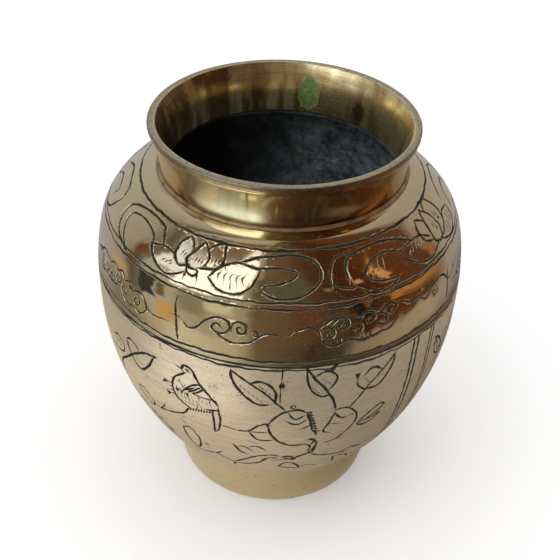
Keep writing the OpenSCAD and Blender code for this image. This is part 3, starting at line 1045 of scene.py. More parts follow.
@dataclass
class EngravedCasting:
    """A shell of the body: its outer skin with all the cuts, and the turned faces that close it."""

    skin: Unrolled
    relief: Relief
    ripple: Ripple
    bottom: float
    top: float
    row: float = 3.0
    clearance: float = 0.35
    spacing: float = 2.1

    @property
    def half(self) -> float:
        """Half the width of the unrolled skin."""
        return math.pi * self.skin.reach

    def lines(self) -> tuple[list[Point], list[tuple[int, int]]]:
        """Points and edges along every cut: its bottom, its two edges and the feet of its burr."""
        points: list[Point] = []
        edges: list[tuple[int, int]] = []
        for track in self.relief.tracks:
            step = np.gradient(track.points, axis=0)
            step /= np.maximum(np.hypot(*step.T), 1e-9)[:, None]
            side = np.stack([-step[:, 1], step[:, 0]], 1) * track.half_width[:, None]
            for share in (0, 1, -1, self.relief.burr_reach, -self.relief.burr_reach):
                line = track.points + side * share
                inside = ((line[:, 1] > self.bottom + self.clearance)
                          & (line[:, 1] < self.top - self.clearance)
                          & (np.abs(line[:, 0]) < self.half + 2))
                first = len(points)
                points += [tuple(p) for p in line[inside]]
                order = np.cumsum(inside) - 1
                both = np.nonzero(inside[1:] & inside[:-1])[0]
                edges += [(first + int(order[i]), first + int(order[i]) + 1) for i in both]
        return points, edges

    def net(self) -> tuple[np.ndarray, list[Sequence[int]]]:
        """The unrolled skin cut into triangles along every line of the drawing."""
        points, edges = self.lines()
        columns = np.linspace(-self.half, self.half, SEGMENTS + 1)
        rows = np.linspace(self.bottom, self.top, max(4, int((self.top - self.bottom) / self.row)) + 1)
        frame_line = [(u, self.bottom) for u in columns] + [(self.half, v) for v in rows[1:-1]]
        frame_line += [(u, self.top) for u in columns[::-1]] + [(-self.half, v) for v in rows[-2:0:-1]]
        first = len(points)
        points += frame_line
        edges += [(first + i, first + (i + 1) % len(frame_line)) for i in range(len(frame_line))]
        shift = columns[1] - columns[0]
        inner = np.array([(u + shift / 2 * (i % 2), v) for i, v in enumerate(rows[1:-1])
                          for u in columns[1:-1 - i % 2]])
        points += [tuple(p) for p in inner[self.relief.clear(inner, self.spacing)]]
        verts, _, faces, *_ = delaunay_2d_cdt([Vector(p) for p in points], edges, [], 0, 1e-5, False)
        flat = np.array([tuple(v) for v in verts])
        triangles = np.array([tuple(f) for f in faces if len(f) == 3])
        middle = flat[triangles].mean(1)
        keep = (np.abs(middle[:, 0]) < self.half) & (middle[:, 1] > self.bottom) & (middle[:, 1] < self.top)
        return flat, triangles[keep]

    def place(self, flat: np.ndarray) -> tuple[np.ndarray, np.ndarray, np.ndarray]:
        """Places, smooth normals and cut marks of points of the unrolled skin."""
        cut_height, marks = self.relief.measure(flat)
        radius, height, out, up = self.skin.at(flat[:, 1])
        turn = flat[:, 0] / self.skin.reach
        along = np.interp(flat[:, 1], self.skin.flat, self.skin.along)
        swell, by_turn, by_along = self.ripple(turn, along)
        lift = swell + cut_height
        radial = radius + lift * out
        sine, cosine = np.sin(turn), np.cos(turn)
        points = np.stack([radial * sine, -radial * cosine, height + lift * up], 1)
        tilt_along, tilt_turn = by_along, by_turn / np.maximum(radius, 1)
        normal_out, normal_up = out + tilt_along * up, up - tilt_along * out
        normal = np.stack([normal_out * sine - tilt_turn * cosine, -normal_out * cosine - tilt_turn * sine,
                           normal_up], 1)
        return points, normal / np.linalg.norm(normal, axis=1)[:, None], marks

    def build(self, name: str, closing: np.ndarray, kinds: Sequence[int],
              materials: Sequence[bpy.types.Material]) -> bpy.types.Object:
        """Builds the shell.

        Args:
            name: The piece's name.
            closing: Turned profile that closes the shell, from the skin's top edge round to its
                bottom edge. Its first and last points are taken from the skin.
            kinds: Material of each stretch of that profile.
            materials: The skin's material, the inner one and any others.

        Returns:
            The object.
        """
        flat, triangles = self.net()
        points, smooth, marks = self.place(flat)
        solid = Solid()
        solid.add(points, marks)
        corner = points[triangles]
        face_normal = np.cross(corner[:, 1] - corner[:, 0], corner[:, 2] - corner[:, 0])
        length = np.maximum(np.linalg.norm(face_normal, axis=1), 1e-12)
        face_normal /= length[:, None]
        plain = (marks[triangles] == 0).all(1)
        for triangle, is_plain, normal in zip(triangles, plain, face_normal):
            solid.faces.append(tuple(int(i) for i in triangle))
            solid.kinds.append(0)
            solid.normals.append(smooth[triangle] if is_plain else np.repeat(normal[None], 3, 0))
        rim = (np.abs(np.abs(flat[:, 0]) - self.half) < 0.01) | (flat[:, 1] < self.bottom + 0.001)
        rim |= flat[:, 1] > self.top - 0.001
        turns = np.linspace(-math.pi, math.pi, SEGMENTS + 1)[:-1]
        rows = spun(closing, turns)
        for index, edge in ((0, self.top), (-1, self.bottom)):
            rows[index] = self.place(np.stack([turns * self.skin.reach, np.full(SEGMENTS, edge)], 1))[0]
        start, end = facing(closing, 25)
        first = solid.add(rows.reshape(-1, 3), np.zeros(rows.shape[0] * SEGMENTS))
        out = np.stack([np.sin(turns), -np.cos(turns)], 1)
        for i in range(len(closing) - 1):
            for j in range(SEGMENTS):
                k = (j + 1) % SEGMENTS
                low, high = first + i * SEGMENTS, first + (i + 1) * SEGMENTS
                solid.faces.append((low + j, low + k, high + k, high + j))
                solid.kinds.append(kinds[i])
                solid.normals.append(np.array([[*(out[t] * n[0]), n[1]] for t, n in
                                               ((j, start[i]), (k, start[i]), (k, end[i]), (j, end[i]))]))
        row_rim = np.r_[np.arange(first, first + SEGMENTS),
                        np.arange(first + (len(closing) - 1) * SEGMENTS, first + len(closing) * SEGMENTS)]
        return solid.build(name, materials, np.r_[np.nonzero(rim)[0], row_rim])


# ---------------------------------------------------------------- shader maths

class Signal:
    """A socket of a node tree that can be used in Python expressions."""

    def __init__(self, board: "Board", socket: bpy.types.NodeSocket) -> None:
        """Wraps a socket of the given board."""
        self.board = board
        self.socket = socket

    def _maths(self, operation: str, first: "Signal | float", second: "Signal | float" = 0.0) -> "Signal":
        """Adds a Math node."""
        return self.board.node("ShaderNodeMath", {"operation": operation}, {0: first, 1: second})

    def __add__(self, other: "Signal | float") -> "Signal":
        """Sum."""
        return self._maths("ADD", self, other)

    __radd__ = __add__

    def __sub__(self, other: "Signal | float") -> "Signal":
        """Difference."""
        return self._maths("SUBTRACT", self, other)

    def __rsub__(self, other: float) -> "Signal":
        """Difference from a number."""
        return self._maths("SUBTRACT", other, self)

    def __mul__(self, other: "Signal | float") -> "Signal":
        """Product."""
        return self._maths("MULTIPLY", self, other)

    __rmul__ = __mul__

    def __truediv__(self, other: "Signal | float") -> "Signal":
        """Quotient."""
        return self._maths("DIVIDE", self, other)

    def __pow__(self, other: float) -> "Signal":
        """Power."""
        return self._maths("POWER", self, other)

    def above(self, other: "Signal | float") -> "Signal":
        """The larger of two values."""
        return self._maths("MAXIMUM", self, other)

    def below(self, other: "Signal | float") -> "Signal":
        """The smaller of two values."""
        return self._maths("MINIMUM", self, other)

    def size(self) -> "Signal":
        """Absolute value."""
        return self._maths("ABSOLUTE", self)

    def step(self, low: float, high: float) -> "Signal":
        """0 below low and 1 above high, eased between; the other way round if low is the larger."""
        return self.board.node("ShaderNodeMapRange", {"interpolation_type": "SMOOTHSTEP", "clamp": True},
                               {"Value": self, "From Min": low, "From Max": high})


Input = "Signal | float | Sequence[float]"


class Board:
    """Adds nodes to one node tree."""

    def __init__(self, tree: bpy.types.NodeTree) -> None:
        """Starts on the given tree, emptied."""
        self.tree = tree
        tree.nodes.clear()

    def node(self, kind: str, settings: dict[str, object], inputs: dict[str | int, Input],
             output: str | int = 0) -> Signal:
        """Adds one node.

        Args:
            kind: The node's type.
            settings: Its own settings; "stops" fills a colour ramp with (place, colour) pairs.
            inputs: Values or signals for its sockets, by name or number.
            output: The output that is wanted.

        Returns:
            That output.
        """
        made = self.tree.nodes.new(kind)
        for name, value in settings.items():
            if name == "stops":
                ramp = made.color_ramp
                for i, (place, colour) in enumerate(value):
                    stop = ramp.elements[i] if i < 2 else ramp.elements.new(place)
                    stop.position = place
                    stop.color = (*colour, 1.0)
            else:
                setattr(made, name, value)
        for name, value in inputs.items():
            socket = made.inputs[name]
            if isinstance(value, Signal):
                self.tree.links.new(value.socket, socket)
            elif isinstance(value, (int, float)):
                socket.default_value = value
            else:
                socket.default_value = (*value, 1.0) if len(socket.default_value) == 4 else tuple(value)
        return Signal(self, made.outputs[output] if len(made.outputs) else None)

    def spot(self) -> Signal:
        """Place on the piece, in metres from the middle of the sole."""
        return self.node("ShaderNodeTexCoord", {}, {}, "Object")

    def parts(self, vector: Signal) -> tuple[Signal, Signal, Signal]:
        """The three numbers of a vector."""
        first = self.node("ShaderNodeSeparateXYZ", {}, {0: vector}, 0)
        node = first.socket.node
        return first, Signal(self, node.outputs[1]), Signal(self, node.outputs[2])

    def stretched(self, vector: Signal, factors: Sequence[float],
                  shift: Sequence[float] = (0, 0, 0)) -> Signal:
        """A vector times factors, moved by a shift."""
        return self.node("ShaderNodeVectorMath", {"operation": "MULTIPLY_ADD"},
                         {0: vector, 1: factors, 2: shift})

    def noise(self, vector: Signal, scale: float, detail: float = 3.0, rough: float = 0.5,
              bend: float = 0.0) -> Signal:
        """Noise from 0 to 1 at a place."""
        return self.node("ShaderNodeTexNoise", {"noise_dimensions": "3D"},
                         {"Vector": vector, "Scale": scale, "Detail": detail, "Roughness": rough,
                          "Distortion": bend}, "Fac")

    def mark(self, name: str) -> Signal:
        """A number stored on the mesh."""
        return self.node("ShaderNodeAttribute", {"attribute_name": name}, {}, "Fac")

    def mixed(self, share: Input, first: Input, second: Input) -> Signal:
        """A colour between two colours."""
        mix = self.node("ShaderNodeMix", {"data_type": "RGBA"}, {0: share, 6: first, 7: second}, 2)
        return mix

    def bumped(self, height: Signal, distance: float, strength: float = 1.0,
               normal: Signal | None = None) -> Signal:
        """A normal tilted by a height field."""
        inputs = {"Height": height, "Distance": distance, "Strength": strength}
        if normal is not None:
            inputs["Normal"] = normal
        return self.node("ShaderNodeBump", {}, inputs)

    def principled(self, inputs: dict[str | int, Input]) -> None:
        """Ends the material in one Principled shader."""
        shader = self.node("ShaderNodeBsdfPrincipled", {}, inputs)
        self.node("ShaderNodeOutputMaterial", {}, {"Surface": shader})


Colour = tuple[float, float, float]


# How many millimetres a metre has, for places that the materials read in metres.
TO_MM = 1000

# Where each mark on the brass starts and where it is full, in millimetres up from the floor: the lip's film
# and the dulled sides, and the painted shade toward the foot, at the crown's edge, at the neck's foot and low
# in the throat.
FOOT_SHADE_SPAN = (82.0, 36.0)
CROWN_SHADE_SPAN = (146.1, 146.9)
SIDES_SPAN = (134.0, 124.0)
LIP_TOP_SPAN = (162.8, 163.4)
NECK_FOOT_SHADE_SPAN = (149.6, 147.9)
THROAT_SHADE_SPAN = (162.0, 150.0)

# The same, in millimetres from the axis, and to the right of the pot's middle.
SIDES_REACH = (42.0, 62.0)
LIP_INNER_REACH = (47.5, 47.9)
LIP_OUTER_REACH = (49.2, 49.6)
# Across the neck's front: where the painted bright reflection and the smoother brass on its left fade in and
# out, and where the painted dark brown reflection on its right starts.
BRIGHT_REFLECTION_FROM = (-36.0, -24.0)
BRIGHT_REFLECTION_TO = (-1.2, -3.4)
SOFT_FROM = (-32.0, -26.0)
SOFT_TO = (-6.0, -12.0)
DARK_REFLECTION_FROM = (-1.0, 3.0)
# Where the painted shade on the left of the neck's inside fades in.
THROAT_LEFT = (-8.0, -34.0)

# The front and the back half of the pot, in metres.
FRONT_HALF = (0.0, -0.02)
BACK_HALF = (0.0, 0.02)

# Marks on the back of the neck's inside, as (right of the middle, up) and half sizes, in millimetres.
SMUDGE_AT, SMUDGE_SIZE = (29.5, 151.6), (2.0, 3.8)
PATCH_AT, PATCH_SIZE = (9.4, 153.7), (4.7, 7.0)

# Colours of what settles on the brass or is rubbed off it, of the painted shade on the lower belly and inside
# the neck, and of the painted reflection on the neck's front.
PALE_STREAK: Colour = (1.0, 0.88, 0.68)
FOOT_SHADE: Colour = (0.52, 0.41, 0.27)
LIP_FILM: Colour = (0.30, 0.23, 0.15)
PAINTED_BRIGHT_REFLECTION: Colour = (1.0, 0.94, 0.62)
PAINTED_DARK_REFLECTION: Colour = (0.46, 0.34, 0.18)
THROAT_SHADE: Colour = (0.13, 0.07, 0.02)
BRIGHT_STREAK: Colour = (0.95, 0.78, 0.40)
VERDIGRIS: Colour = (0.06, 0.17, 0.03)


class BrassGrain:
    """The noises that every brass shares, and where on the pot the surface is."""

    def __init__(self, board: Board) -> None:
        """Lays the noises out.

        Args:
            board: The material's board.
        """
        self.board = board
        self.spot = board.spot()
        self.x, self.y, self.z = board.parts(self.spot)
        self.cloudy = board.noise(self.spot, 38, 5, 0.6, 0.4)
        self.broad = board.noise(board.stretched(self.spot, (1, 1, 1.6), (3, 1, 2)), 14, 3, 0.5, 0.8)
        self.lines = board.noise(board.stretched(self.spot, (0.06, 0.06, 9.0)), 420, 4, 0.7)
        self.streaks = board.noise(board.stretched(self.spot, (1, 1, 14.0), (0, 5, 0)), 42, 3, 0.6)


@dataclass
class Coat:
    """A surface while its layers are laid on. The last value is the mask of the lip's top."""

    colour: Input
    rough: Signal
    dirt_and_shade: Signal
    pits: Signal
    metallic: Signal
    top: Signal | float = 0.0


@dataclass(frozen=True)
class Brass:
    """Brass as a metal surface: its colour, how finely it is worked, what has settled on it, and the painted
    shade and painted reflection that some pieces get.
    """

    name: str
    colour: Colour = (0.82, 0.665, 0.37)
    warm: Colour = (0.76, 0.58, 0.30)
    stain: Colour = (0.16, 0.09, 0.04)
    patina: Colour = (0.018, 0.022, 0.012)
    roughness: float = 0.06
    unevenness: float = 0.06
    brushing: float = 0.15
    brush_depth: float = 0.002
    metallic: float = 1.0
    spots: float = 0.5
    grain: float = 0.25
    banding: float = 0.1
    engraved: bool = False
    patina_from: float = 0.01
    patina_full: float = 0.22
    # This also turns on the painted shade and the streaks of the neck's inside.
    verdigris: bool = False
    dull_below: float = 0.0
    dull_colour: Colour = (0.60, 0.49, 0.34)
    dull_roughness: float = 0.36
    shaded_crown_dull_sides: bool = False
    worn_lip_and_painted_neck: bool = False
    dim_foot: bool = False

    def make(self) -> bpy.types.Material:
        """Builds the material.

        Returns:
            The material.
        """
        material = bpy.data.materials.new(self.name)
        material.use_nodes = True
        grain = BrassGrain(Board(material.node_tree))
        coat = self._bare(grain)
        layers = ((self.dull_below, self._dull), (self.dim_foot, self._dim_foot),
                  (self.shaded_crown_dull_sides, self._shade_crown_dull_sides), (self.worn_lip_and_painted_neck, self._wear_lip),
                  (self.worn_lip_and_painted_neck, self._paint_neck_reflection_and_shade), (self.verdigris, self._shade_and_stain_throat))
        for wanted, lay in layers:
            if wanted:
                lay(grain, coat)
        board = grain.board
        # Random dirt and pits, and the painted shade at the crown's edge and at the neck's foot, darken
        # toward the stain colour here.
        coat.colour = board.mixed(coat.dirt_and_shade.below(1.0), coat.colour, self.stain)
        height = grain.lines * self.brushing + grain.cloudy * 0.3
        normal = board.bumped(height, self.brush_depth * MM, 1.0)
        if self.engraved:
            self._settle(grain, coat)
        board.principled({"Base Color": coat.colour, "Metallic": coat.metallic * self.metallic,
                          "Roughness": coat.rough.above(0.03).below(0.95), "Normal": normal})
        return material

    def _bare(self, grain: BrassGrain) -> Coat:
        """The metal with its own streaks, freckles, blotches and pits."""
        board, spot, cloudy = grain.board, grain.spot, grain.cloudy
        lines, streaks = grain.lines, grain.streaks
        warmth = grain.broad.step(0.35, 0.7) * 0.6 + cloudy.step(0.4, 0.75) * 0.3
        colour = board.mixed(warmth, self.colour, self.warm)
        freckles = board.noise(board.stretched(spot, (1, 1, 1), (7, 7, 7)), 260, 2, 0.6).step(0.68, 0.76)
        blotches = board.noise(board.stretched(spot, (1, 1, 1.8), (2, 9, 4)), 105, 4, 0.68).step(0.61, 0.76)
        pits = board.noise(board.stretched(spot, (1, 1, 1.3), (4, 4, 1)), 1500, 2, 0.7).step(0.56, 0.74)
        dirt_and_shade = (freckles * 0.55 + blotches * 0.5) * self.spots + pits * self.grain
        tone = (streaks - 0.5) * 1.4 + (lines - 0.5) * 0.9
        colour = board.mixed((tone.above(0.0) * self.banding * 2.2).below(1.0), colour, self.stain)
        colour = board.mixed(((0 - tone).above(0.0) * self.banding * 1.6).below(1.0), colour, PALE_STREAK)
        rough = self.roughness + (cloudy - 0.5) * self.unevenness + (lines - 0.5) * (self.brushing * 0.3)
        rough = rough + (streaks - 0.5) * (self.brushing * 0.15)
        return Coat(colour, rough, dirt_and_shade, pits, 1 - dirt_and_shade * 0.35)

    def _dull(self, grain: BrassGrain, coat: Coat) -> None:
        """Dulls the metal below a height."""
        board = grain.board
        ragged = (board.noise(grain.spot, 240, 3) - 0.5) * 1.2
        dull = (grain.z * TO_MM + ragged).step(self.dull_below + 0.4, self.dull_below - 0.4)
        tint = board.mixed(grain.streaks.step(0.3, 0.8), self.dull_colour, self.warm)
        coat.colour = board.mixed(dull, coat.colour, tint)
        coat.rough = coat.rough + dull * (self.dull_roughness - self.roughness)

    def _dim_foot(self, grain: BrassGrain, coat: Coat) -> None:
        """Paints shade on the lower belly, darker toward the foot."""
        # Painted shade: the lower belly darkens toward the foot.
        low = (grain.z * TO_MM + (grain.cloudy - 0.5) * 20).step(*FOOT_SHADE_SPAN)
        coat.colour = grain.board.mixed(low * 0.6, coat.colour, FOOT_SHADE)

    def _shade_crown_dull_sides(self, grain: BrassGrain, coat: Coat) -> None:
        """Paints shade along the crown's edge under the neck and dulls the cloud band toward both sides."""
        cloudy = grain.cloudy
        # Painted shade: a dark line along the top of the crown, where it meets the neck.
        crown = (grain.z * TO_MM + (cloudy - 0.5) * 1.2).step(*CROWN_SHADE_SPAN)
        coat.dirt_and_shade = coat.dirt_and_shade + crown * 0.7
        across = (grain.x.size() * TO_MM + (cloudy - 0.5) * 44).step(*SIDES_REACH)
        side = across * (grain.z * TO_MM).step(*SIDES_SPAN)
        coat.colour = grain.board.mixed(side * 0.65, coat.colour, self.dull_colour)
        coat.rough = coat.rough + side * 0.15
        coat.dirt_and_shade = coat.dirt_and_shade + side * coat.pits * 0.35

    def _wear_lip(self, grain: BrassGrain, coat: Coat) -> None:
        """Lays a brown film and specks on the top of the lip."""
        board, spot, x, y = grain.board, grain.spot, grain.x, grain.y
        across = (x * x + y * y) ** 0.5 * TO_MM + (board.noise(spot, 320, 4, 0.65) - 0.5) * 1.1
        top = (grain.z * TO_MM).step(*LIP_TOP_SPAN)
        film = top * across.step(*LIP_INNER_REACH) * (0.45 + across.step(*LIP_OUTER_REACH) * 0.35)
        coat.colour = board.mixed(film, coat.colour, LIP_FILM)
        coat.rough = coat.rough + film * 0.30
        coat.dirt_and_shade = coat.dirt_and_shade + top * board.noise(spot, 900, 3, 0.6).step(0.52, 0.66) * 0.5
        coat.top = top

    def _paint_neck_reflection_and_shade(self, grain: BrassGrain, coat: Coat) -> None:
        """Paints a reflection on the neck's front, bright on its left and dark brown on its right, and paints
        shade at its lower corner.
        """
        board = grain.board
        drift = grain.x * TO_MM + (grain.broad - 0.5) * 16
        front = grain.y.step(*FRONT_HALF) * (1 - coat.top)
        # Painted reflection: bright on the left of the neck's front, dark brown on its right.
        painted_bright = drift.step(*BRIGHT_REFLECTION_FROM) * drift.step(*BRIGHT_REFLECTION_TO) * front
        coat.colour = board.mixed(painted_bright, coat.colour, PAINTED_BRIGHT_REFLECTION)
        coat.rough = coat.rough + drift.step(*SOFT_FROM) * drift.step(*SOFT_TO) * front * 0.09
        painted_dark = drift.step(*DARK_REFLECTION_FROM) * front
        coat.colour = board.mixed(painted_dark * 0.75, coat.colour, PAINTED_DARK_REFLECTION)
        # Painted shade: darker toward the neck's foot, in the corner above the bead.
        corner = (grain.z * TO_MM + (grain.cloudy - 0.5) * 1.6).step(*NECK_FOOT_SHADE_SPAN)
        coat.dirt_and_shade = coat.dirt_and_shade + corner * 0.75

    def _shade_and_stain_throat(self, grain: BrassGrain, coat: Coat) -> None:
        """Paints shade low in the neck's inside and on its left, streaks it, and lays the smudge and the
        verdigris on its back.
        """
        board, x, z = grain.board, grain.x, grain.z
        upright = board.noise(board.stretched(grain.spot, (1, 1, 0.10), (2, 2, 2)), 120, 4, 0.62)
        low = (z * TO_MM + (grain.cloudy - 0.5) * 12).step(*THROAT_SHADE_SPAN)
        left = (x * TO_MM + (grain.broad - 0.5) * 60).step(*THROAT_LEFT)
        # Painted shade: darker lower down the neck's inside and on its left side, over the random dark
        # streaks.
        shade = upright.step(0.44, 0.60) * (0.30 + low * 0.45) + left * 0.95
        coat.colour = board.mixed(shade.below(0.93), coat.colour, THROAT_SHADE)
        coat.colour = board.mixed(upright.step(0.50, 0.36) * 0.45, coat.colour, BRIGHT_STREAK)
        coat.rough = coat.rough - upright.step(0.50, 0.36) * 0.10
        smudge = (((x * TO_MM - SMUDGE_AT[0] + (grain.lines - 0.5) * 5) / SMUDGE_SIZE[0]) ** 2
                  + ((z * TO_MM - SMUDGE_AT[1]) / SMUDGE_SIZE[1]) ** 2) ** 0.5
        coat.dirt_and_shade = coat.dirt_and_shade + smudge.step(1.15, 0.75) * grain.y.step(*BACK_HALF) * 0.9
        patch = self._green_patch(grain) * grain.y.step(*BACK_HALF)
        coat.colour = board.mixed(patch, coat.colour, VERDIGRIS)
        coat.rough = coat.rough + patch * 0.35
        coat.metallic = coat.metallic * (1 - patch * 0.7)

    def _settle(self, grain: BrassGrain, coat: Coat) -> None:
        """Darkens the cuts with what has settled in them, and their edges a little."""
        board = grain.board
        deep = board.mark("cut")
        settled = deep.step(self.patina_from, self.patina_full)
        settled = settled * (0.86 + board.noise(grain.spot, 300, 2) * 0.3).below(1.0)
        rim = deep.step(0.0, 0.02) * (1 - deep.step(0.02, 0.2)) * 0.25
        coat.colour = board.mixed(settled, board.mixed(rim, coat.colour, self.stain), self.patina)
        coat.rough = (coat.rough + settled * 0.5 + rim * 0.1).below(0.95)
        coat.metallic = coat.metallic * (1 - settled * 0.85)

    def _green_patch(self, grain: BrassGrain) -> Signal:
        """An oval of verdigris on the back of the neck's inside."""
        board = grain.board
        ragged = (board.noise(grain.spot, 420, 3) - 0.5) * 0.55
        away = (((grain.x * TO_MM - PATCH_AT[0]) / PATCH_SIZE[0]) ** 2
                + ((grain.z * TO_MM - PATCH_AT[1]) / PATCH_SIZE[1]) ** 2) ** 0.5 + ragged
        mottle = board.noise(board.stretched(grain.spot, (1, 1, 0.5)), 600, 4, 0.65)
        return away.step(1.06, 0.80) * (0.66 + mottle.step(0.38, 0.60) * 0.32)


@dataclass(frozen=True)
class DarkCasting:
    """The rough inside of a casting, near-black, with a pale bluish bloom shown only on its right side, where
    the light falls; the near-black left is painted shade.
    """

    name: str
    dark: Colour = (0.012, 0.011, 0.010)
    bloom: Colour = (0.55, 0.68, 0.72)
    rust: Colour = (0.10, 0.05, 0.02)

    def make(self) -> bpy.types.Material:
        """Builds the material.

        Returns:
            The material.
        """
        material = bpy.data.materials.new(self.name)
        material.use_nodes = True
        board = Board(material.node_tree)
        spot = board.spot()
        x, _, z = board.parts(spot)
        mottle = board.noise(spot, 62, 8, 0.64, 1.1)
        fine = board.noise(spot, 300, 5, 0.7)
        cracks = (board.noise(spot, 85, 5, 0.62) - 0.5).size().step(0.0, 0.035)
        # Painted light: the bloom shows only on the right of the inside, which faces the light; the left
        # stays near-black as painted shade.
        side = (x + (board.noise(spot, 30, 3) - 0.5) * 0.05).step(-0.030, 0.030)
        share = (mottle.step(0.24, 0.76) * 0.65 + fine.step(0.36, 0.72) * 0.45) * (0.45 + cracks * 0.55)
        # Painted shade: the bloom fades out toward the mouth, between 141 and 146 millimetres up.
        share = share.below(1.0) * side * (z * 1000).step(146.0, 141.0)
        colour = board.mixed(share, self.dark, self.bloom)
        colour = board.mixed(board.noise(spot, 60, 4, 0.6).step(0.62, 0.74) * 0.6, colour, self.rust)
        normal = board.bumped(mottle * 0.7 + fine * 0.3, 0.35 * MM, 0.8)
        board.principled({"Base Color": colour, "Metallic": 0.25 + share * 0.1,
                          "Roughness": 0.62 + fine * 0.3,
                          "Normal": normal})
        return material


@dataclass(frozen=True)
class Filler:
    """Brazing metal or soft solder that has run into a corner."""

    name: str
    colour: Colour
    shade: Colour
    roughness: float = 0.3

    def make(self) -> bpy.types.Material:
        """Builds the material.

        Returns:
            The material.
        """
        material = bpy.data.materials.new(self.name)
        material.use_nodes = True
        board = Board(material.node_tree)
        spot = board.spot()
        lumps = board.noise(spot, 160, 4, 0.6)
        grain = board.noise(spot, 900, 2)
        colour = board.mixed(lumps.step(0.35, 0.7), self.colour, self.shade)
        board.principled({"Base Color": colour, "Metallic": 0.9 - lumps * 0.2,
                          "Roughness": self.roughness + grain * 0.2,
                          "Normal": board.bumped(lumps + grain * 0.2, 0.15 * MM, 0.7)})
        return material


# ---------------------------------------------------------------- turned pieces

def own(piece: bpy.types.Object, slot: str, *nodes: str) -> bpy.types.Object:
    """Lets a piece ride on the pot and hides the nodes that it stands for."""
    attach(piece, BODY)
    if nodes:
        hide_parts(*nodes)
    log.info("%s: %d faces, for %s", piece.name, len(piece.data.polygons),
             ", ".join(nodes) or "its own place")
    return piece


def turned_piece(name: str, profile: np.ndarray, segments: int, materials: Sequence[bpy.types.Material],
                 kinds: Sequence[int], shift: Callable[[np.ndarray, np.ndarray], np.ndarray] | None = None,
                 limit: float = 28.0) -> bpy.types.Object:
    """A closed turned piece.

    Args:
        name: The piece's name.
        profile: Closed outline as rows of (radius, height), the outside on the right of the way along.
        segments: Number of stretches round the axis.
        materials: The materials.
        kinds: Material of each stretch of the outline.
        shift: Moves the points, given points and turns, for dents and wear.
        limit: Sharpest corner, in degrees, that is shaded as a curve.

    Returns:
        The object.
    """
    turns = np.linspace(-math.pi, math.pi, segments + 1)[:-1]
    points = spun(profile, turns)
    if shift is not None:
        points = shift(points, turns)
    count = len(profile)
    faces = []
    slots = []
    for i in range(count):
        for j in range(segments):
            k, n = (j + 1) % segments, (i + 1) % count
            faces.append((i * segments + j, i * segments + k, n * segments + k, n * segments + j))
            slots.append(kinds[i])
    mesh = bpy.data.meshes.new(name)
    mesh.from_pydata((points.reshape(-1, 3) * MM).tolist(), [], faces)
    mesh.polygons.foreach_set("material_index", slots)
    mesh.polygons.foreach_set("use_smooth", [True] * len(faces))
    for material in materials:
        mesh.materials.append(material)
    mesh.set_sharp_from_angle(angle=math.radians(limit))
    piece = bpy.data.objects.new(name, mesh)
    bpy.context.scene.collection.objects.link(piece)
    return piece


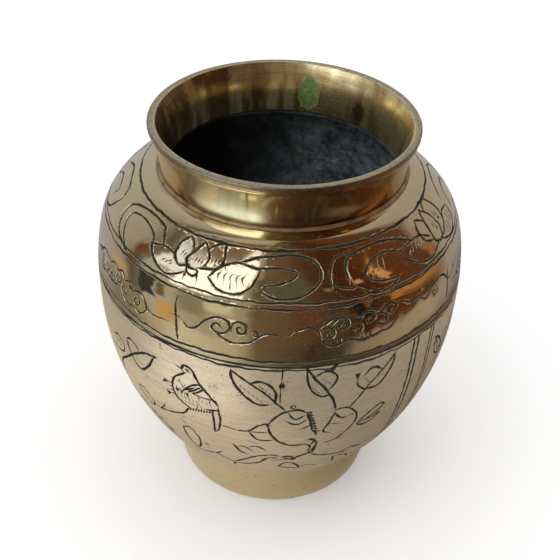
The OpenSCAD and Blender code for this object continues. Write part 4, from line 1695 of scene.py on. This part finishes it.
@dataclass
class Neck:
    """The flared neck with its plain rounded lip and the bead of brazing metal at its foot."""

    shape: BodyShape
    throat_radius: float = 43.0
    throat_length: float = 3.0
    spigot_radius: float = 44.0
    spigot_depth: float = 0.6
    neck_radius: float = 46.4
    mouth_radius: float = 47.1
    lip_radius: float = 50.0
    lip_bottom: float = 162.6
    lip_step: float = 0.8
    overall_height: float = 165.0
    bead: float = 1.0
    segments: int = 288
    nicks: tuple[tuple[float, float, float, float], ...] = (
        (-66.0, 163.2, 1.6, 0.45), (78.0, 164.2, 1.9, 0.5), (71.0, 162.9, 1.2, 0.35),
        (-158.0, 164.4, 1.4, 0.3),
        (122.0, 163.6, 1.0, 0.3))

    @property
    def seat(self) -> np.ndarray:
        """Where the crown ends under the neck."""
        return self.shape.crown_centre + self.shape.crown_radius * direction(self.shape.crown_slope)

    def _flare(self, low: float, high: float, from_radius: float, reach: float,
               steps: int) -> list[np.ndarray]:
        """Points up a wall that curves outward, from upright at its foot."""
        rise = high - low
        radius = (rise ** 2 + reach ** 2) / (2 * reach)
        angle = math.degrees(math.asin(rise / radius))
        return arc(np.array([from_radius + radius, low]), radius, 180, 180 - angle, steps)

    def profile(self) -> tuple[np.ndarray, list[int]]:
        """Outline of the neck and the material of each stretch."""
        seat = self.seat[1]
        bore_bottom = seat - self.spigot_depth
        flare_bottom = bore_bottom + self.throat_length
        outside = self._flare(seat + self.bead + 0.2, self.lip_bottom, self.neck_radius,
                              self.lip_radius - self.lip_step - self.neck_radius, 22)
        inside = self._flare(flare_bottom, self.overall_height - 0.25, self.throat_radius,
                             self.mouth_radius - self.throat_radius, 22)[::-1]
        roll = 0.75
        lip = [np.array([self.lip_radius - self.lip_step * 0.35, self.lip_bottom + self.lip_step * 0.25])]
        lip += arc(np.array([self.lip_radius - roll, self.lip_bottom + 0.95]), roll, -35, 0, 4)
        lip += arc(np.array([self.lip_radius - roll, self.overall_height - roll]), roll, 0, 90, 6)
        # A sampled cut on the unrolled skin: points, half widths and depths.
        lip += [np.array([self.mouth_radius + 0.35, self.overall_height])]
        points = [np.array([self.throat_radius, bore_bottom]), np.array([self.spigot_radius, bore_bottom]),
                  np.array([self.spigot_radius, seat]), np.array([self.neck_radius, seat])]
        points += outside[:-1] + lip
        plain = len(points)
        points += inside
        return np.array(points), [0] * plain + [1] * (len(points) - plain)

    def worn(self, points: np.ndarray, turns: np.ndarray) -> np.ndarray:
        """Adds the small dents of the lip and the slow waviness of a hand-turned wall."""
        radius = np.hypot(points[..., 0], points[..., 1])
        height = points[..., 2]
        wave = sum(size * np.sin(laps * turns + phase)[None] for size, laps, phase in
                   ((0.035, 3, 0.4), (0.02, 5, 2.0), (0.012, 11, 1.1), (0.008, 17, 3.0)))
        free = np.clip((height - 148.5) / 4, 0, 1) * np.clip((49.4 - radius) / 0.5, 0, 1)
        change = (wave - 0.03) * free
        for turn, level, reach, depth in self.nicks:
            across = (turns[None] - math.radians(turn) + math.pi) % FULL_TURN - math.pi
            gap = (((across * radius) / reach) ** 2 + ((height - level) / 0.9) ** 2
                   + (np.clip(49.0 - radius, 0, 9)) ** 2)
            change = change - depth * np.exp(-gap * 1.5)
        factor = (radius + change) / radius
        return np.stack([points[..., 0] * factor, points[..., 1] * factor, height], 2)

    def build(self, finish: bpy.types.Material, throat: bpy.types.Material,
              filler: bpy.types.Material) -> None:
        """Builds the neck and its bead."""
        profile, kinds = self.profile()
        own(turned_piece("neck", profile, self.segments, [finish, throat], kinds, self.worn, 50),
            "polished_brass", "neck_collar")
        corner = np.array([self.neck_radius, self.seat[1]])
        bead = np.array([corner] + arc(corner, self.bead, 0, 90, 6))
        own(turned_piece("neck_bead", bead, 192, [filler], [0] * len(bead)), "brazing_metal", "neck_braze")


@dataclass
class Foot:
    """The tapered foot ring with its narrow sole."""

    height: float = 28.0
    top_radius: float = 47.0
    bottom_radius: float = 42.9
    sole_round: float = 0.9
    sole_width: float = 1.8
    socket_radius: float = 43.4
    socket_depth: float = 5.0
    dents: tuple[tuple[float, float, float, float], ...] = (
        (-36.0, 3.0, 2.2, 0.35), (20.0, 1.5, 3.0, 0.25), (64.0, 2.2, 2.0, 0.3), (150.0, 2.0, 2.5, 0.3),
        (-120.0, 1.6, 3.0, 0.3))

    def profile(self) -> np.ndarray:
        """Outline of the foot."""
        sole_outer = self.bottom_radius - self.sole_round
        sole_inner = sole_outer - self.sole_width
        points = [np.array([sole_inner, 0.0])]
        points += arc(np.array([sole_outer, self.sole_round]), self.sole_round, -90, 0, 5)
        side = np.linspace(points[-1], [self.top_radius, self.height], 14)
        points += list(side[1:])
        points += [np.array([self.socket_radius, self.height]),
                   np.array([self.socket_radius, self.height - self.socket_depth]),
                   np.array([sole_inner - 0.3, self.sole_round])]
        return np.array(points)

    def worn(self, points: np.ndarray, turns: np.ndarray) -> np.ndarray:
        """Adds dents near the sole."""
        radius = np.hypot(points[..., 0], points[..., 1])
        height = points[..., 2]
        change = np.zeros_like(radius)
        for turn, level, reach, depth in self.dents:
            across = (turns[None] - math.radians(turn) + math.pi) % FULL_TURN - math.pi
            gap = (across * radius / reach) ** 2 + ((height - level) / 1.5) ** 2
            change -= depth * np.exp(-gap) * (height > 0.2) * (radius > self.bottom_radius - 0.6)
        factor = (radius + change) / radius
        return np.stack([points[..., 0] * factor, points[..., 1] * factor, height], 2)

    def build(self, finish: bpy.types.Material) -> None:
        """Builds the foot."""
        profile = self.profile()
        own(turned_piece("foot", profile, 240, [finish], [0] * len(profile), self.worn), "foot_brass",
            "foot_ring")


@dataclass
class Body:
    """The two engraved shells of the body."""

    shape: BodyShape = field(default_factory=BodyShape)
    ornament: Ornament = field(default_factory=Ornament)
    ring_spacing: float = 2.5
    shoulder_rings: tuple[float, float] = (129.4, 131.1)
    lap_height: float = 4.0
    braze_gap: float = 0.3
    spigot_radius: float = 44.0
    foot_height: float = 28.0
    flange_radius: float = 40.0
    land_radius: float = 48.5
    edge_round: float = 0.8

    def __post_init__(self) -> None:
        """Unrolls the skin and cuts the drawing into it."""
        self.skin = Unrolled(self.shape)
        seam = self.shape.seam_height
        rings = [(0.0, Tool.BROAD, 0.0), (-1.25, Tool.LINE, 0.40),
                 (self.skin.along_height(seam + self.ring_spacing), Tool.BROAD, 0.34)]
        rings += [(self.skin.along_height(height), Tool.LINE, 0.28) for height in self.shoulder_rings]
        rings += [(self.skin.along_height(float(self.shape.slope_end[1])), Tool.GOUGE, 0.22)]
        graver = Graver(self.skin)
        graver.cut_all(self.ornament, rings)
        self.relief = Relief(self.skin, graver.tracks)
        self.ripple = Ripple(Random(5))

    def _inner_radius(self, height: float) -> float:
        """Radius of the inside near the seam."""
        centre, radius = self.shape.haunch_centre, self.shape.haunch_radius - self.shape.wall
        return float(centre[0] + math.sqrt(radius ** 2 - (height - centre[1]) ** 2))

    def build_upper(self, finish: bpy.types.Material, inner: bpy.types.Material) -> None:
        """Builds the shoulder and cloud band in one shell."""
        shape = self.shape
        seam = shape.seam_height
        lap = self._inner_radius(seam)
        lap_outer = lap + shape.wall / 2 - self.braze_gap / 2
        inside = shape.surface(shape.wall)
        crown_inner = shape.crown_radius - shape.wall
        hole = np.array([self.spigot_radius, shape.crown_centre[1] + math.sqrt(
            crown_inner ** 2 - (self.spigot_radius - shape.crown_centre[0]) ** 2)])
        inside = inside[(inside[:, 1] > seam + 0.5) & (inside[:, 0] > self.spigot_radius + 0.3)]
        seat = shape.crown_centre + shape.crown_radius * direction(shape.crown_slope)
        closing = [seat, np.array([self.spigot_radius, seat[1]]), hole, *inside[::-1][::2],
                   np.array([lap, seam - self.lap_height]), np.array([lap_outer, seam - self.lap_height]),
                   np.array([lap_outer, seam]), np.array([shape.belly_radius, seam])]
        closing = np.array(closing)
        kinds = [1] * (len(closing) - 1)
        casting = EngravedCasting(self.skin, self.relief, self.ripple, 0.0, self.skin.top)
        own(casting.build("shoulder_shell", closing, kinds, [finish, inner]),
            "polished_brass_body", "upper_shell")

    def build_lower(self, finish: bpy.types.Material, inner: bpy.types.Material) -> None:
        """Builds the belly with its flange over the foot."""
        shape = self.shape
        seam = shape.seam_height
        lap = self._inner_radius(seam)
        ledge = seam - self.lap_height
        socket = lap + shape.wall / 2 + self.braze_gap / 2
        inside = shape.surface(shape.wall)
        inside = inside[inside[:, 1] < ledge - 0.5]
        flange_top = self.foot_height + shape.wall
        flange_inside = shape.flank_centre + (shape.flank_radius - shape.wall) * direction(-shape.flank_slope)
        edge = shape.flank_centre + shape.flank_radius * direction(-shape.flank_slope)
        closing = [np.array([shape.belly_radius, seam]), np.array([socket, seam]), np.array([socket, ledge]),
                   np.array([lap, ledge]), *inside[::-1][::3], flange_inside + [-5, 0],
                   np.array([self.flange_radius, flange_top]),
                   np.array([self.flange_radius, self.foot_height]),
                   np.array([self.land_radius, self.foot_height]),
                   edge + self.edge_round * direction(-shape.flank_slope - 110), edge]
        closing = np.array(closing)
        kinds = [1] * (len(closing) - 1)
        kinds[-3:] = [0, 0, 0]
        casting = EngravedCasting(self.skin, self.relief, self.ripple, self.skin.bottom, 0.0)
        own(casting.build("belly_shell", closing, kinds, [finish, inner]), "satin_brass", "lower_shell")


# ---------------------------------------------------------------- studio

Stops = tuple[tuple[float, Colour], ...]


@dataclass(frozen=True)
class Panel:
    """A soft-edged rectangle of the room: where it lies seen from the pot, in degrees, and its glow."""

    turn: float
    reach: float
    rise: float
    height: float
    glow: Colour
    soft: float = 1.5
    lean: float = 0.0


@dataclass
class Room:
    """What the polished brass mirrors: pale walls, a window, a dark side with warm wood, and a table."""

    radius: float = 4.0
    centre_height: float = 0.12
    mat_radius: float = 0.135
    mat_height: float = 0.0004
    mat_glow: Colour = (0.54, 0.50, 0.42)
    mat_shade: Colour = (0.11, 0.085, 0.06)
    table_edge: float = -33.0
    ledge_top: float = -24.0
    walls: Stops = (
        (-180, (0.46, 0.48, 0.55)), (-126, (0.45, 0.47, 0.55)), (-103, (0.36, 0.37, 0.42)),
        (-99, (0.26, 0.24, 0.24)), (-92, (0.12, 0.10, 0.09)), (-87, (0.20, 0.21, 0.23)),
        (-84, (0.44, 0.47, 0.54)), (-62, (0.46, 0.47, 0.50)), (-18, (0.36, 0.35, 0.31)),
        (-13, (0.16, 0.12, 0.09)), (10, (0.12, 0.075, 0.052)), (27, (0.075, 0.042, 0.032)),
        (45, (0.055, 0.021, 0.014)), (64, (0.072, 0.024, 0.012)), (78, (0.115, 0.042, 0.018)),
        (103, (0.10, 0.05, 0.035)), (114, (0.38, 0.36, 0.38)), (180, (0.46, 0.48, 0.55)))
    ledge: Stops = (
        (-180, (0.46, 0.50, 0.62)), (-132, (0.46, 0.49, 0.56)), (-112, (0.26, 0.25, 0.20)),
        (-92, (0.26, 0.25, 0.20)), (-70, (0.52, 0.53, 0.52)), (-58, (0.66, 0.68, 0.70)),
        (-25, (0.52, 0.50, 0.46)),
        (-10, (0.16, 0.13, 0.10)), (20, (0.05, 0.035, 0.03)), (38, (0.06, 0.05, 0.045)),
        (50, (0.26, 0.22, 0.21)), (110, (0.46, 0.40, 0.37)), (140, (0.28, 0.28, 0.31)),
        (180, (0.46, 0.50, 0.62)))
    table: Stops = (
        (-180, (0.34, 0.34, 0.30)), (-128, (0.36, 0.36, 0.28)), (-118, (0.22, 0.19, 0.13)),
        (-98, (0.10, 0.08, 0.06)), (-84, (0.58, 0.58, 0.56)), (-62, (1.25, 1.35, 1.50)),
        (-24, (1.05, 1.10, 1.10)), (-13, (0.15, 0.10, 0.07)), (0, (0.05, 0.037, 0.028)),
        (40, (0.026, 0.016, 0.012)), (72, (0.028, 0.015, 0.010)), (84, (0.11, 0.045, 0.02)),
        (94, (0.045, 0.02, 0.011)), (122, (0.045, 0.022, 0.013)), (138, (0.17, 0.14, 0.11)),
        (180, (0.34, 0.34, 0.30)))
    panels: tuple[Panel, ...] = (
        Panel(-44, 22, 39, 21, (1.55, 1.65, 2.2), 1.5, 0.31),
        Panel(-75, 10, 36.5, 12, (0.95, 1.05, 1.6), 1.5, 0.31),
        Panel(-50, 31, 64.5, 6, (0.20, 0.15, 0.12), 1.0, 0.31),
        Panel(-95, 3.0, 12, 18, (0.16, 0.075, 0.05), 1.5, -0.1),
        Panel(-81, 6.0, -8, 12, (0.05, 0.045, 0.055), 1.5, 0.3),
        Panel(-70, 3.0, -4, 8, (0.16, 0.13, 0.11), 1.5),
        Panel(-66, 7.0, -21, 4, (0.62, 0.42, 0.22), 1.5),
        Panel(-50, 9, 0, 16, (0.26, 0.27, 0.25), 5.0),
        Panel(-33, 8, 5, 9, (0.62, 0.66, 0.64), 3.0),
        Panel(-29, 6, -12, 2.2, (1.1, 1.1, 1.1), 1.2),
        Panel(-28, 2.5, 21, 3.0, (0.26, 0.24, 0.30), 0.8),
        Panel(3, 20, 47, 12, (0.10, 0.105, 0.085), 4.0, 0.1),
        Panel(17, 7, 4, 13, (0.12, 0.055, 0.042), 5.0),
        Panel(33, 7, -8, 13, (0.075, 0.065, 0.05), 2.0),
        Panel(50, 6, -2, 13, (0.012, 0.010, 0.012), 2.0),
        Panel(73, 4.0, 38, 10, (0.62, 0.36, 0.14), 1.2, 0.15),
        Panel(70, 2.5, 24, 4, (0.42, 0.26, 0.14), 1.0, 0.4),
        Panel(56, 2.6, 39, 3.5, (0.55, 0.34, 0.28), 1.0),
        Panel(33, 2.0, 40, 2.0, (0.24, 0.18, 0.11), 0.8),
        Panel(86, 20, -4, 6, (0.42, 0.20, 0.06), 1.2, -0.35),
        Panel(88, 14, -9, 2.2, (0.22, 0.11, 0.05), 1.0, -0.35),
        Panel(107, 3.0, 10, 17, (0.30, 0.17, 0.11), 1.2),
        Panel(-106, 9, -19, 5, (0.56, 0.42, 0.28), 2.0, 0.3),
        Panel(52, 2.0, 10, 10, (0.16, 0.07, 0.03), 1.0),
        Panel(61, 1.2, 14, 6, (0.30, 0.13, 0.05), 0.8),
    )
    cream: Panel = Panel(-52, 34, -68, 10, (0.95, 0.86, 0.56), 3.0)

    def _ramp(self, board: Board, turn: Signal, stops: Stops) -> Signal:
        """Colour of one belt of the room by its direction in degrees."""
        places = tuple(((angle + 180) / 360, colour) for angle, colour in stops)
        return board.node("ShaderNodeValToRGB", {"stops": places}, {0: turn / 360 + 0.5}, "Color")

    def _glowing(self, name: str, board: Board, glow: Input,
                 material: bpy.types.Material) -> bpy.types.Material:
        """Ends a material in plain light."""
        light = board.node("ShaderNodeEmission", {}, {"Color": glow, "Strength": 1.0})
        board.node("ShaderNodeOutputMaterial", {}, {"Surface": light})
        material.name = name
        return material

    def walls_material(self) -> bpy.types.Material:
        """The glow of the walls and the table all round."""
        material = bpy.data.materials.new("room_walls")
        material.use_nodes = True
        board = Board(material.node_tree)
        spot = board.spot()
        x, y, z = board.parts(spot)
        waver = board.noise(spot, 1.6, 3, 0.6) - 0.5
        other = board.noise(board.stretched(spot, (1, 1, 1), (9, 4, 2)), 1.3, 4, 0.65) - 0.5
        turn = self._degrees(board, x, 0 - y) + waver * 9
        rise = self._degrees(board, z, (x * x + y * y) ** 0.5) + other * 7
        high = self._ramp(board, turn, self.walls)
        belt = self._ramp(board, turn, self.ledge)
        low = self._ramp(board, turn, self.table)
        glow = board.mixed((rise + waver * 6).step(self.ledge_top - 1.5, self.ledge_top + 1.5), belt, high)
        for panel in self.panels:
            glow = self._laid(board, glow, turn, rise, panel)
        low = self._laid(board, low, turn, rise, self.cream)
        glow = board.mixed(rise.step(self.table_edge - 0.6, self.table_edge + 0.6), low, glow)
        return self._glowing("room_walls", board, glow, material)

    @staticmethod
    def _degrees(board: Board, over: Signal, under: Signal) -> Signal:
        """Angle of a slope in degrees."""
        return board.node("ShaderNodeMath", {"operation": "ARCTAN2"}, {0: over, 1: under}) * (180 / math.pi)

    @staticmethod
    def _laid(board: Board, glow: Signal, turn: Signal, rise: Signal, panel: Panel) -> Signal:
        """Lays a panel over the glow."""
        up = (rise - panel.rise - (turn - panel.turn) * panel.lean).size()
        across = (turn - panel.turn).size()
        mask = (across.step(panel.reach + panel.soft, panel.reach - panel.soft)
                * up.step(panel.height + panel.soft, panel.height - panel.soft))
        return board.mixed(mask, glow, panel.glow)

    def mat_material(self) -> bpy.types.Material:
        """The glow of the pale floor close to the pot."""
        material = bpy.data.materials.new("room_mat")
        material.use_nodes = True
        board = Board(material.node_tree)
        x, y, _ = board.parts(board.spot())
        glow = board.mixed((x - y * 0.25).step(-0.02, 0.09), self.mat_glow, self.mat_shade)
        return self._glowing("room_mat", board, glow, material)

    def build(self) -> list[bpy.types.Object]:
        """Builds the walls and the mat, seen only in reflections."""
        ball = bmesh.new()
        bmesh.ops.create_uvsphere(ball, u_segments=64, v_segments=32, radius=self.radius)
        mat = bmesh.new()
        bmesh.ops.create_circle(mat, cap_ends=True, segments=96, radius=self.mat_radius)
        parts = []
        for name, form, height, material in (("room_walls", ball, self.centre_height, self.walls_material()),
                                             ("room_mat", mat, self.mat_height, self.mat_material())):
            mesh = bpy.data.meshes.new(name)
            form.to_mesh(mesh)
            form.free()
            mesh.materials.append(material)
            part = bpy.data.objects.new(name, mesh)
            part.location.z = height
            bpy.context.scene.collection.objects.link(part)
            part.visible_camera = False
            part.visible_diffuse = False
            part.visible_transmission = False
            part.visible_volume_scatter = False
            part.visible_shadow = False
            parts.append(part)
        return parts


@dataclass
class Studio:
    """Camera, floor, soft light and the room around the pot."""

    camera_place: tuple[float, float, float] = (0.0, -289.42, 314.11)
    pan: float = -0.117
    tilt: float = 37.831
    roll: float = 2.168
    lens: float = 56.549
    shift: tuple[float, float] = (0.0052, 0.0)
    floor_size: float = 8.0
    sky: float = 1.12
    room: Room = field(default_factory=Room)

    def _camera(self) -> None:
        """Sets the camera at the fitted place and angle."""
        pan, tilt, roll = (math.radians(a) for a in (self.pan, self.tilt, self.roll))
        forward = Vector((math.sin(pan) * math.cos(tilt), math.cos(pan) * math.cos(tilt), -math.sin(tilt)))
        right = Vector((math.cos(pan), -math.sin(pan), 0))
        up = right.cross(forward)
        across = math.cos(roll) * right + math.sin(roll) * up
        above = -math.sin(roll) * right + math.cos(roll) * up
        data = bpy.data.cameras.new("camera")
        data.lens = self.lens
        data.sensor_width = 36.0
        data.shift_x, data.shift_y = self.shift
        data.clip_start = 0.01
        camera = bpy.data.objects.new("camera", data)
        camera.matrix_world = (Matrix.Translation(Vector(self.camera_place) * MM)
                               @ Matrix((across, above, -forward)).transposed().to_4x4())
        bpy.context.scene.collection.objects.link(camera)
        bpy.context.scene.camera = camera

    def _floor(self) -> bpy.types.Object:
        """A plain pale floor."""
        bpy.ops.mesh.primitive_plane_add(size=self.floor_size, location=(0, 0, -0.0001))
        floor = bpy.context.object
        floor.name = "floor"
        material = bpy.data.materials.new("pale_floor")
        material.use_nodes = True
        board = Board(material.node_tree)
        board.principled({"Base Color": (0.93, 0.93, 0.93), "Roughness": 0.9})
        floor.data.materials.append(material)
        floor.visible_glossy = False
        return floor

    def _sky(self) -> None:
        """Even soft light from all round."""
        world = bpy.data.worlds.new("soft_light")
        world.use_nodes = True
        board = Board(world.node_tree)
        glow = board.node("ShaderNodeBackground", {}, {"Color": (1.0, 1.0, 1.0), "Strength": self.sky})
        board.node("ShaderNodeOutputWorld", {}, {"Surface": glow})
        bpy.context.scene.world = world

    def _lamp(self) -> bpy.types.Object:
        """A wide soft lamp high on the left."""
        data = bpy.data.lights.new("soft_lamp", "AREA")
        data.shape = "DISK"
        data.size = 0.7
        data.energy = 2.2
        lamp = bpy.data.objects.new("soft_lamp", data)
        lamp.location = (-0.6, -0.5, 1.1)
        lamp.rotation_euler = Euler((math.radians(35), 0, math.radians(-50)))
        lamp.visible_glossy = False
        bpy.context.scene.collection.objects.link(lamp)
        return lamp

    def build(self) -> None:
        """Builds everything around the pot."""
        self._camera()
        self._sky()
        self._floor()
        self._lamp()
        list(self.room.build())
        bpy.context.scene.view_settings.view_transform = "Standard"


@dataclass
class PlanterPot:
    """The whole pot: body, neck, foot, base and the fillers between them."""

    body: Body = field(default_factory=Body)
    foot: Foot = field(default_factory=Foot)

    def dress_frame(self, filler: bpy.types.Material, solder: bpy.types.Material,
                    plain: bpy.types.Material) -> None:
        """Gives the parts that stay as designed their materials."""
        for node, material in (("girdle_braze", filler), ("foot_braze", filler), ("base_disc", plain),
                               ("base_solder", solder)):
            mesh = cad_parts[node].data
            mesh.materials.clear()
            mesh.materials.append(material)
            log.info("%s keeps its designed shape", node)

    def build(self) -> None:
        """Builds and dresses every piece."""
        polished = Brass("polished_brass", engraved=True, spots=0.45, grain=0.28, dull_below=110.2,
                         patina_from=0.10, patina_full=0.42, shaded_crown_dull_sides=True)
        neck_brass = Brass("neck_brass", colour=(0.87, 0.735, 0.42), warm=(0.82, 0.66, 0.36), brushing=0.35,
                           roughness=0.10, spots=0.35, banding=0.2, worn_lip_and_painted_neck=True)
        throat_brass = Brass("throat_brass", colour=(0.92, 0.75, 0.33), warm=(0.68, 0.50, 0.18),
                             roughness=0.25,
                             unevenness=0.2, brushing=1.0, brush_depth=0.02, spots=1.0, grain=0.2,
                             banding=0.7,
                             metallic=0.90, verdigris=True)
        satin = Brass("satin_brass", colour=(0.84, 0.70, 0.485), warm=(0.72, 0.57, 0.38), roughness=0.38,
                      brushing=0.6, brush_depth=0.018, spots=1.7, grain=0.7, banding=0.28, engraved=True,
                      dim_foot=True,
                      metallic=0.72)
        foot_brass = Brass("foot_brass", colour=(0.86, 0.74, 0.47), warm=(0.74, 0.60, 0.35), roughness=0.30,
                           unevenness=0.25, brushing=0.25, brush_depth=0.008, spots=1.3, grain=0.5,
                           banding=0.08,
                           metallic=0.95)
        plain = Brass("plain_brass", colour=(0.34, 0.27, 0.16), warm=(0.20, 0.14, 0.08), roughness=0.45,
                      brushing=0.6,
                      brush_depth=0.01, spots=1.4, grain=0.6)
        dark = DarkCasting("casting_inside_painted_light").make()
        filler = Filler("brazing_metal", (0.50, 0.34, 0.15), (0.20, 0.12, 0.05)).make()
        solder = Filler("soft_solder", (0.42, 0.43, 0.42), (0.22, 0.22, 0.21), 0.4).make()
        self.body.build_upper(polished.make(), dark)
        self.body.build_lower(satin.make(), dark)
        Neck(self.body.shape).build(neck_brass.make(), throat_brass.make(), filler)
        self.foot.build(foot_brass.make())
        self.dress_frame(filler, solder, plain.make())


def main() -> None:
    """Builds the pot and its studio."""
    logging.basicConfig(level=logging.INFO, format="%(message)s")
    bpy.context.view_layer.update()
    PlanterPot().build()
    Studio().build()


if __name__ == "__main__":
    main()
